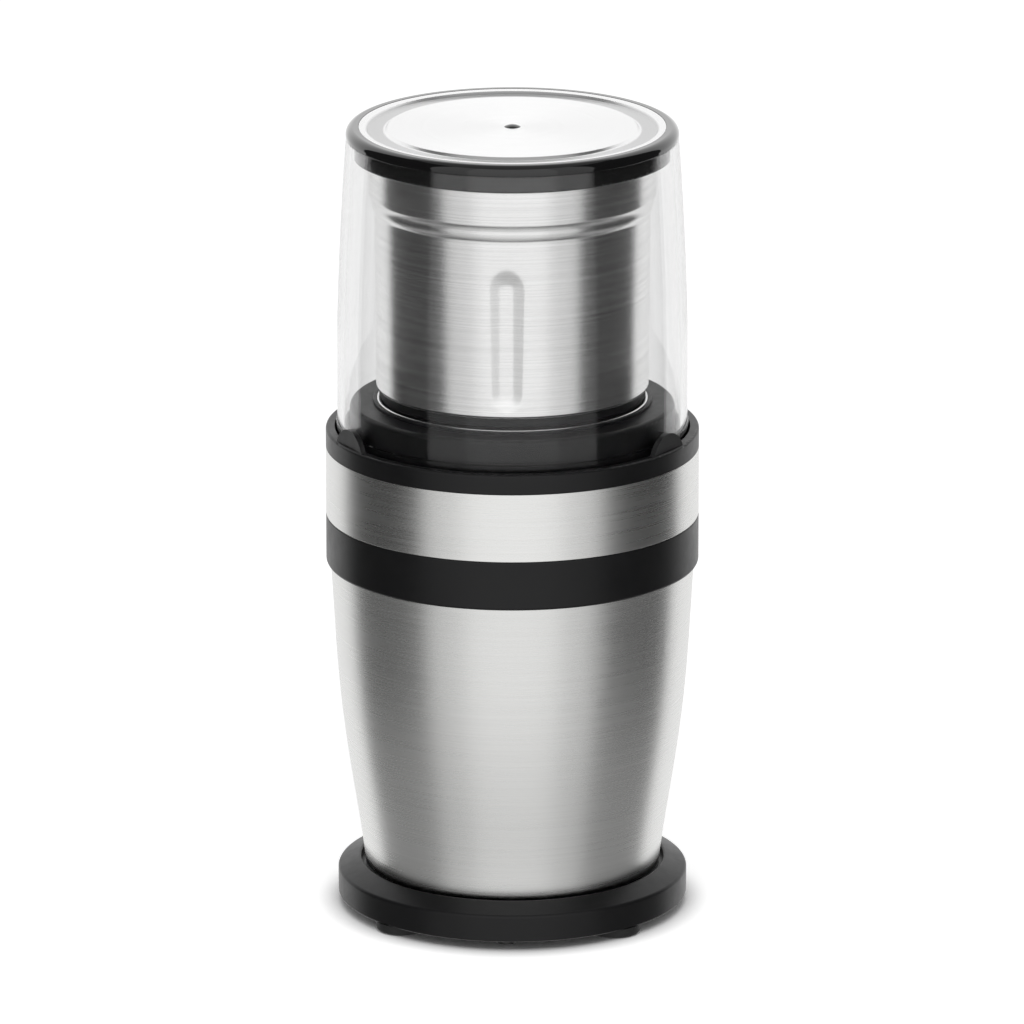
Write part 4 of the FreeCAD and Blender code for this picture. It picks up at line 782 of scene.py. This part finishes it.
@dataclass
class Cup(SubAssembly):
    """The steel grinding cup on its black base, with the spindle and the blade."""

    floor_z: float = 164.8
    foot_radius: float = 41.4
    foot_round: float = 1.3
    waist_radius: float = 41.9
    waist_z: float = 220.3
    mouth_radius: float = 43.6
    mouth_z: float = 225.6
    rim_z: float = 236.6
    bead: float = 0.4
    wall: float = 0.8
    hole: float = 5.05
    flute_low: float = 172.9
    flute_high: float = 204.8
    flute_half: float = 7.0
    flute_depth: float = 1.95
    flute_slope: float = 70.0
    flute_soft: float = 0.12
    flute_count: int = 3
    flute_span: float = 10.8
    fine_top: float = 212.5

    def side(self, inset: float) -> list[Point]:
        """Return the wall's line from the floor's edge up to the rim.

        Args:
            inset: how far inside the outer face the line runs.

        Returns:
            Points of the line, close together where the flutes are.
        """
        radii = (self.foot_radius, self.waist_radius, self.mouth_radius)
        foot, waist, mouth = (radius - inset for radius in radii)
        low = self.floor_z + inset
        turn = np.linspace(-math.pi / 2, 0, 8)
        bend = self.foot_round
        corner = [(foot - bend * (1 - math.cos(t)), low + bend * (1 + math.sin(t))) for t in turn]
        close = np.linspace(corner[-1][1] + 0.4, self.fine_top, 106)
        levels = np.append(close, np.linspace(self.fine_top + 1.0, self.waist_z - 0.5, 7))
        rise = (levels - corner[-1][1]) / (self.waist_z - corner[-1][1])
        wall = [(float(foot + (waist - foot) * share), float(z)) for share, z in zip(rise, levels)]
        middle = ((waist + mouth) / 2, (self.waist_z + self.mouth_z) / 2)
        half = Vector((middle[0] - waist, middle[1] - self.waist_z))
        curve = half.length_squared / half.x / 2
        lower = arc_between((waist, self.waist_z), middle, curve)
        upper = arc_between(middle, (mouth, self.mouth_z), -curve)
        top = [(mouth, z) for z in np.linspace(self.mouth_z + 0.5, self.rim_z - 1.5, 8)]
        return corner + wall + lower + upper[1:] + top

    def rim(self) -> list[Point]:
        """Return the line over the beaded rim, from the outer wall to the inner one."""
        half = self.wall / 2
        out = self.mouth_radius + self.bead
        turn = np.linspace(-math.pi / 2, math.pi / 2, 9)
        bead = [(out - half + half * math.cos(t), self.rim_z - half + half * math.sin(t)) for t in turn]
        return bead + [(self.mouth_radius - self.wall, self.rim_z - 0.1)]

    def columns(self) -> np.ndarray:
        """Return the angles of the upright lines, closer together at each flute."""
        half_turn = 180.0 / self.flute_count
        fine = np.linspace(-self.flute_span, self.flute_span, 61)
        coarse = np.linspace(self.flute_span, half_turn, 28)[1:]
        sector = np.concatenate([-coarse[:-1][::-1], fine, coarse])
        starts = -90.0 + np.arange(self.flute_count) * 2 * half_turn
        return np.radians(np.concatenate([start + sector for start in starts]))

    def pressed(self, across: np.ndarray, height: np.ndarray, grown: float) -> np.ndarray:
        """Return how deep a flute is pressed at each place.

        Args:
            across: distance from the flute's middle line.
            height: height above the table.
            grown: how much wider the flute is at the face that is asked for.

        Returns:
            The depth below the flat plane that touches the wall at the flute.
        """
        beyond = height - np.clip(height, self.flute_low, self.flute_high)
        inside = self.flute_half + grown - np.hypot(across, beyond)
        depth = inside / math.tan(math.radians(self.flute_slope))
        soft = self.flute_soft
        return self.flute_depth - soft * np.logaddexp(0, (self.flute_depth - depth) / soft)

    def vessel(self) -> bpy.types.Object:
        """Build the cup with its pressed flutes."""
        slope = math.radians(self.flute_slope)
        outer = self.side(0.0)
        inner = self.side(self.wall)
        line = [(self.hole, self.floor_z), *outer, *self.rim(), *inner[::-1]]
        line.append((self.hole, self.floor_z + self.wall))
        inset = [0.0] * (1 + len(outer) + len(self.rim())) + [self.wall] * (len(inner) + 1)
        angles = self.columns()
        sector = math.tau / self.flute_count
        away = (angles + math.pi / 2 + sector / 2) % sector - sector / 2
        verts = []
        for (radius, height), deep in zip(line, inset):
            depth_now = radius * (1 - np.cos(away))
            if radius > self.foot_radius - self.foot_round - self.wall:
                grown = deep / math.cos(slope) - deep * math.tan(slope)
                dent = self.pressed(radius * np.sin(away), np.full_like(away, height), grown)
                plane = self.waist_radius - deep - radius
                soft = self.flute_soft
                cut = np.maximum(dent - plane, -1.0)
                depth_now = soft * np.logaddexp(depth_now / soft, cut / soft)
            along = radius * np.sin(away)
            out = radius - depth_now
            middle = angles - away
            x = out * np.cos(middle) - along * np.sin(middle)
            y = out * np.sin(middle) + along * np.cos(middle)
            verts.append(np.stack([x, y, np.full_like(x, height)], axis=1))
        count = len(angles)
        rows = len(line)
        faces = []
        for row in range(rows):
            low, high = row * count, (row + 1) % rows * count
            for step in range(count):
                after = (step + 1) % count
                faces.append((low + step, low + after, high + after, high + step))
        mesh = bpy.data.meshes.new("grinding_cup_piece")
        mesh.from_pydata((np.concatenate(verts) * MM).tolist(), [], faces)
        return finished(mesh, "grinding_cup_piece", 50.0)

    def build(self) -> list[bpy.types.Object]:
        """Build the cup."""
        self.add(self.vessel(), "cup", "pressed_steel", "brushed_steel", "grinding_cup")
        self.paint("black_plastic", "cup_base", "driven_coupling")
        self.paint("brass", "spindle_bush")
        self.paint("black_rubber", "spindle_seal")
        self.paint("polished_steel", "cup_spindle", "blade", "blade_nut")
        return self.made


@dataclass
class Press(SubAssembly):
    """The sprung ring under the lid with its springs, switch and lever."""

    spring_low: float = 133.0
    spring_length: float = 11.4
    stroke: float = 2.5

    def build(self) -> list[bpy.types.Object]:
        """Finish the press ring and the switch, and give the springs a mesh of their own."""
        self.paint("inner_plastic", "press_ring", "microswitch")
        self.paint("screw_steel", "press_springs", "switch_lever")
        self.paint("board_green", "circuit_board")
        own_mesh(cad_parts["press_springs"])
        return self.made


@dataclass
class Motor(SubAssembly):
    """The motor with its brackets, windings, brushes and fan."""

    def build(self) -> list[bpy.types.Object]:
        """Finish the motor."""
        self.paint("aluminium", "top_bracket", "bottom_bracket")
        self.paint("screw_steel", "bearings", "motor_shaft", "motor_screws")
        self.paint("laminated_iron", "stator_core", "rotor_core")
        self.paint("copper", "field_coils", "rotor_windings", "commutator")
        self.paint("brass", "brush_holders")
        self.paint("carbon", "carbon_brushes")
        self.paint("inner_plastic", "cooling_fan", "drive_coupling")
        return self.made


@dataclass
class Studio:
    """The white room, its dark, grey and white cards, the lamp and the camera."""

    azimuth: float = 2.3
    pitch: float = 16.188
    distance: float = 3.1314
    height: float = 1.0329
    field_of_view: float = 5.502
    centre_x: float = 512.4
    frame_width: float = 1024.0
    card_distance: float = 0.9
    card_steps: int = 16
    card_levels: Point = (-9.0, 1.6)
    card_fade: Point = (-0.75, -0.12)
    dark_fade: Point = (-0.42, -0.12)
    dark_card: Point = (56.0, 119.0)
    dark_shades: Point = (0.25, 0.045)
    grey_card: Point = (30.0, 56.0)
    grey_shades: Point = (0.46, 0.72)
    front_card: Point = (0.0, 30.0)
    front_shades: Point = (0.62, 1.0)
    ceiling_z: float = 1.6
    ceiling_radius: float = 1.0
    ceiling_shade: float = 0.38
    room_light: float = 0.55
    lamp_power: float = 18.0
    lamp_size: Point = (1.6, 1.2)
    lamp_place: tuple[float, float, float] = (0.0, -1.4, 2.2)
    lamp_tilt: float = 34.0
    floor_reach: float = 8.0
    floor_glow: float = 0.46
    contact_reach: float = 0.011

    def camera(self) -> None:
        """Put the camera where the photographed view was taken from."""
        data = bpy.data.cameras.new("view")
        data.sensor_width = 36.0
        data.angle = math.radians(self.field_of_view)
        data.shift_x = -(self.centre_x - self.frame_width / 2) / self.frame_width
        data.clip_end = 50.0
        camera = bpy.data.objects.new("view", data)
        turn = math.radians(self.azimuth)
        camera.location = (self.distance * math.sin(turn), -self.distance * math.cos(turn), self.height)
        camera.rotation_euler = (math.radians(90 - self.pitch), 0, turn)
        bpy.context.collection.objects.link(camera)
        bpy.context.scene.camera = camera

    def world(self) -> None:
        """Light the room evenly and show it white to the camera and in reflections."""
        world = bpy.data.worlds.new("room")
        bpy.context.scene.world = world
        world.use_nodes = True
        tree = world.node_tree
        background = tree.nodes["Background"]
        background.inputs["Color"].default_value = (1, 1, 1, 1)
        path = tree.nodes.new("ShaderNodeLightPath")
        seen = tree.nodes.new("ShaderNodeMath")
        seen.operation = "MAXIMUM"
        tree.links.new(path.outputs["Is Camera Ray"], seen.inputs[0])
        tree.links.new(path.outputs["Is Glossy Ray"], seen.inputs[1])
        also = tree.nodes.new("ShaderNodeMath")
        also.operation = "MAXIMUM"
        tree.links.new(seen.outputs[0], also.inputs[0])
        tree.links.new(path.outputs["Is Transmission Ray"], also.inputs[1])
        level = tree.nodes.new("ShaderNodeMapRange")
        tree.links.new(also.outputs[0], level.inputs["Value"])
        level.inputs["To Min"].default_value = self.room_light
        level.inputs["To Max"].default_value = 1.0
        tree.links.new(level.outputs[0], background.inputs["Strength"])

    def card(self, edges: Point, shades: Point, fade: Point) -> None:
        """Stand a curved card on each side, seen only in the gloss of the object.

        Args:
            edges: where it starts and ends, in degrees from the front.
            shades: how bright it looks low down and higher up, where 1 is white.
            fade: the heights between which it goes from the one to the other.
        """
        nodes = Nodes("card")
        height = nodes.add("SeparateXYZ", {0: nodes.place()}).outputs[2]
        foot = nodes.spread(height, 0.85, 1.0, -1.3, -0.9)
        ends = nodes.math("MULTIPLY", foot, nodes.spread(height, 1.0, 1.12, 0.0, 0.4))
        level = nodes.math("MULTIPLY", nodes.spread(height, *shades, *fade), ends)
        glow = nodes.add("Emission", {"Strength": level})
        open_shader = nodes.add("BsdfTransparent")
        nodes.feed(nodes.output.inputs["Surface"], nodes.mixed(nodes.mirrored(), open_shader, glow))
        for side in (-1, 1):
            near, far = (math.radians(self.azimuth + side * edge) for edge in edges)
            verts = []
            for angle in np.linspace(near, far, self.card_steps + 1):
                x, y = self.card_distance * math.sin(angle), -self.card_distance * math.cos(angle)
                verts += [(x, y, z) for z in self.card_levels]
            faces = [(k, k + 2, k + 3, k + 1) for k in range(0, 2 * self.card_steps, 2)]
            mesh = bpy.data.meshes.new("side_card")
            mesh.from_pydata(verts, [], faces)
            self.hide_from_light(mesh, nodes.material)

    def ceiling(self) -> None:
        """Hang a dark round card overhead, seen only in the gloss of the object."""
        nodes = Nodes("ceiling")
        glow = nodes.add("Emission", {"Strength": self.ceiling_shade})
        open_shader = nodes.add("BsdfTransparent")
        nodes.feed(nodes.output.inputs["Surface"], nodes.mixed(nodes.mirrored(), open_shader, glow))
        turn = np.linspace(0, math.tau, 48, endpoint=False)
        mesh = bpy.data.meshes.new("ceiling")
        radius = self.ceiling_radius
        verts = [(radius * math.cos(t), radius * math.sin(t), self.ceiling_z) for t in turn]
        mesh.from_pydata(verts, [], [tuple(range(len(verts)))])
        self.hide_from_light(mesh, nodes.material)

    def hide_from_light(self, mesh: bpy.types.Mesh, material: bpy.types.Material) -> None:
        """Place a card that neither lights nor shades the object.

        Args:
            mesh: the card's mesh.
            material: its material.
        """
        mesh.materials.append(material)
        card = bpy.data.objects.new(mesh.name, mesh)
        bpy.context.collection.objects.link(card)
        card.visible_camera = False
        card.visible_diffuse = False
        card.visible_shadow = False

    def floor(self) -> None:
        """Lay a white floor that keeps the object's shadow and isn't mirrored in its metal.

        Its glow fades within contact_reach of the object, so that the shadow is deep where they meet.
        """
        mesh = bpy.data.meshes.new("floor")
        far = self.floor_reach
        corners = [(-far, -far, 0), (far, -far, 0), (far, far, 0), (-far, far, 0)]
        mesh.from_pydata(corners, [], [(0, 1, 2, 3)])
        floor = bpy.data.objects.new("floor", mesh)
        bpy.context.collection.objects.link(floor)
        nodes = Nodes("floor_white")
        path = nodes.add("LightPath")
        # Painted contact shadow: the floor's glow is dimmed where ambient occlusion finds the object
        # close by.
        near = nodes.add("AmbientOcclusion", {"Distance": self.contact_reach}).outputs["AO"]
        open_air = nodes.spread(near, 0.0, 1.0, 0.48, 0.9)
        camera_glow = nodes.math("MULTIPLY", path.outputs["Is Camera Ray"], self.floor_glow)
        nodes.principled(
            Base_Color=(0.96, 0.96, 0.96, 1.0),
            Roughness=0.9,
            Specular_IOR_Level=0.0,
            Emission_Color=(1.0, 1.0, 1.0, 1.0),
            Emission_Strength=nodes.math("MULTIPLY", camera_glow, open_air),
        )
        open_shader = nodes.add("BsdfTransparent")
        white = nodes.add("Emission")
        sides = {0: path.outputs["Is Transmission Ray"], 1: nodes.shader.outputs[0], 2: white.outputs[0]}
        seen = nodes.add("MixShader", sides)
        nodes.feed(nodes.output.inputs["Surface"], nodes.mixed(nodes.mirrored(), seen, open_shader))
        mesh.materials.append(nodes.material)

    def lamp(self) -> None:
        """Hang a large soft lamp over the front."""
        data = bpy.data.lights.new("softbox", "AREA")
        data.shape = "RECTANGLE"
        data.size, data.size_y = self.lamp_size
        data.energy = self.lamp_power
        lamp = bpy.data.objects.new("softbox", data)
        lamp.location = self.lamp_place
        lamp.rotation_euler = (math.radians(self.lamp_tilt), 0, 0)
        lamp.visible_glossy = False
        bpy.context.collection.objects.link(lamp)

    def build(self) -> None:
        """Set up the room."""
        self.camera()
        self.world()
        self.card(self.dark_card, self.dark_shades, self.dark_fade)
        self.card(self.grey_card, self.grey_shades, self.card_fade)
        self.card(self.front_card, self.front_shades, self.card_fade)
        self.ceiling()
        self.floor()
        self.lamp()
        bpy.context.scene.view_settings.view_transform = "Standard"


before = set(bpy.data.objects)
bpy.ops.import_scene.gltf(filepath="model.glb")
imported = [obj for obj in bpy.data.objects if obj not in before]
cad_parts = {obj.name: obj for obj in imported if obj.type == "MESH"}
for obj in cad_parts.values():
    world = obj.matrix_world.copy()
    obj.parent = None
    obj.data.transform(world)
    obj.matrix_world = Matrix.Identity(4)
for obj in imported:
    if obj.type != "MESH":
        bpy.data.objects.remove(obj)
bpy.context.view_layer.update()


def main() -> None:
    """Build the studio and every sub-assembly of the grinder."""
    logging.basicConfig(level=logging.INFO)
    Studio().build()
    finishes = Finishes().by_slot()
    for kind in (Foot, Housing, Collar, Lid, Cup, Press, Motor):
        for piece in kind(finishes).build():
            LOG.info("%s: %s", kind.__name__, piece.name)


if __name__ == "__main__":
    main()
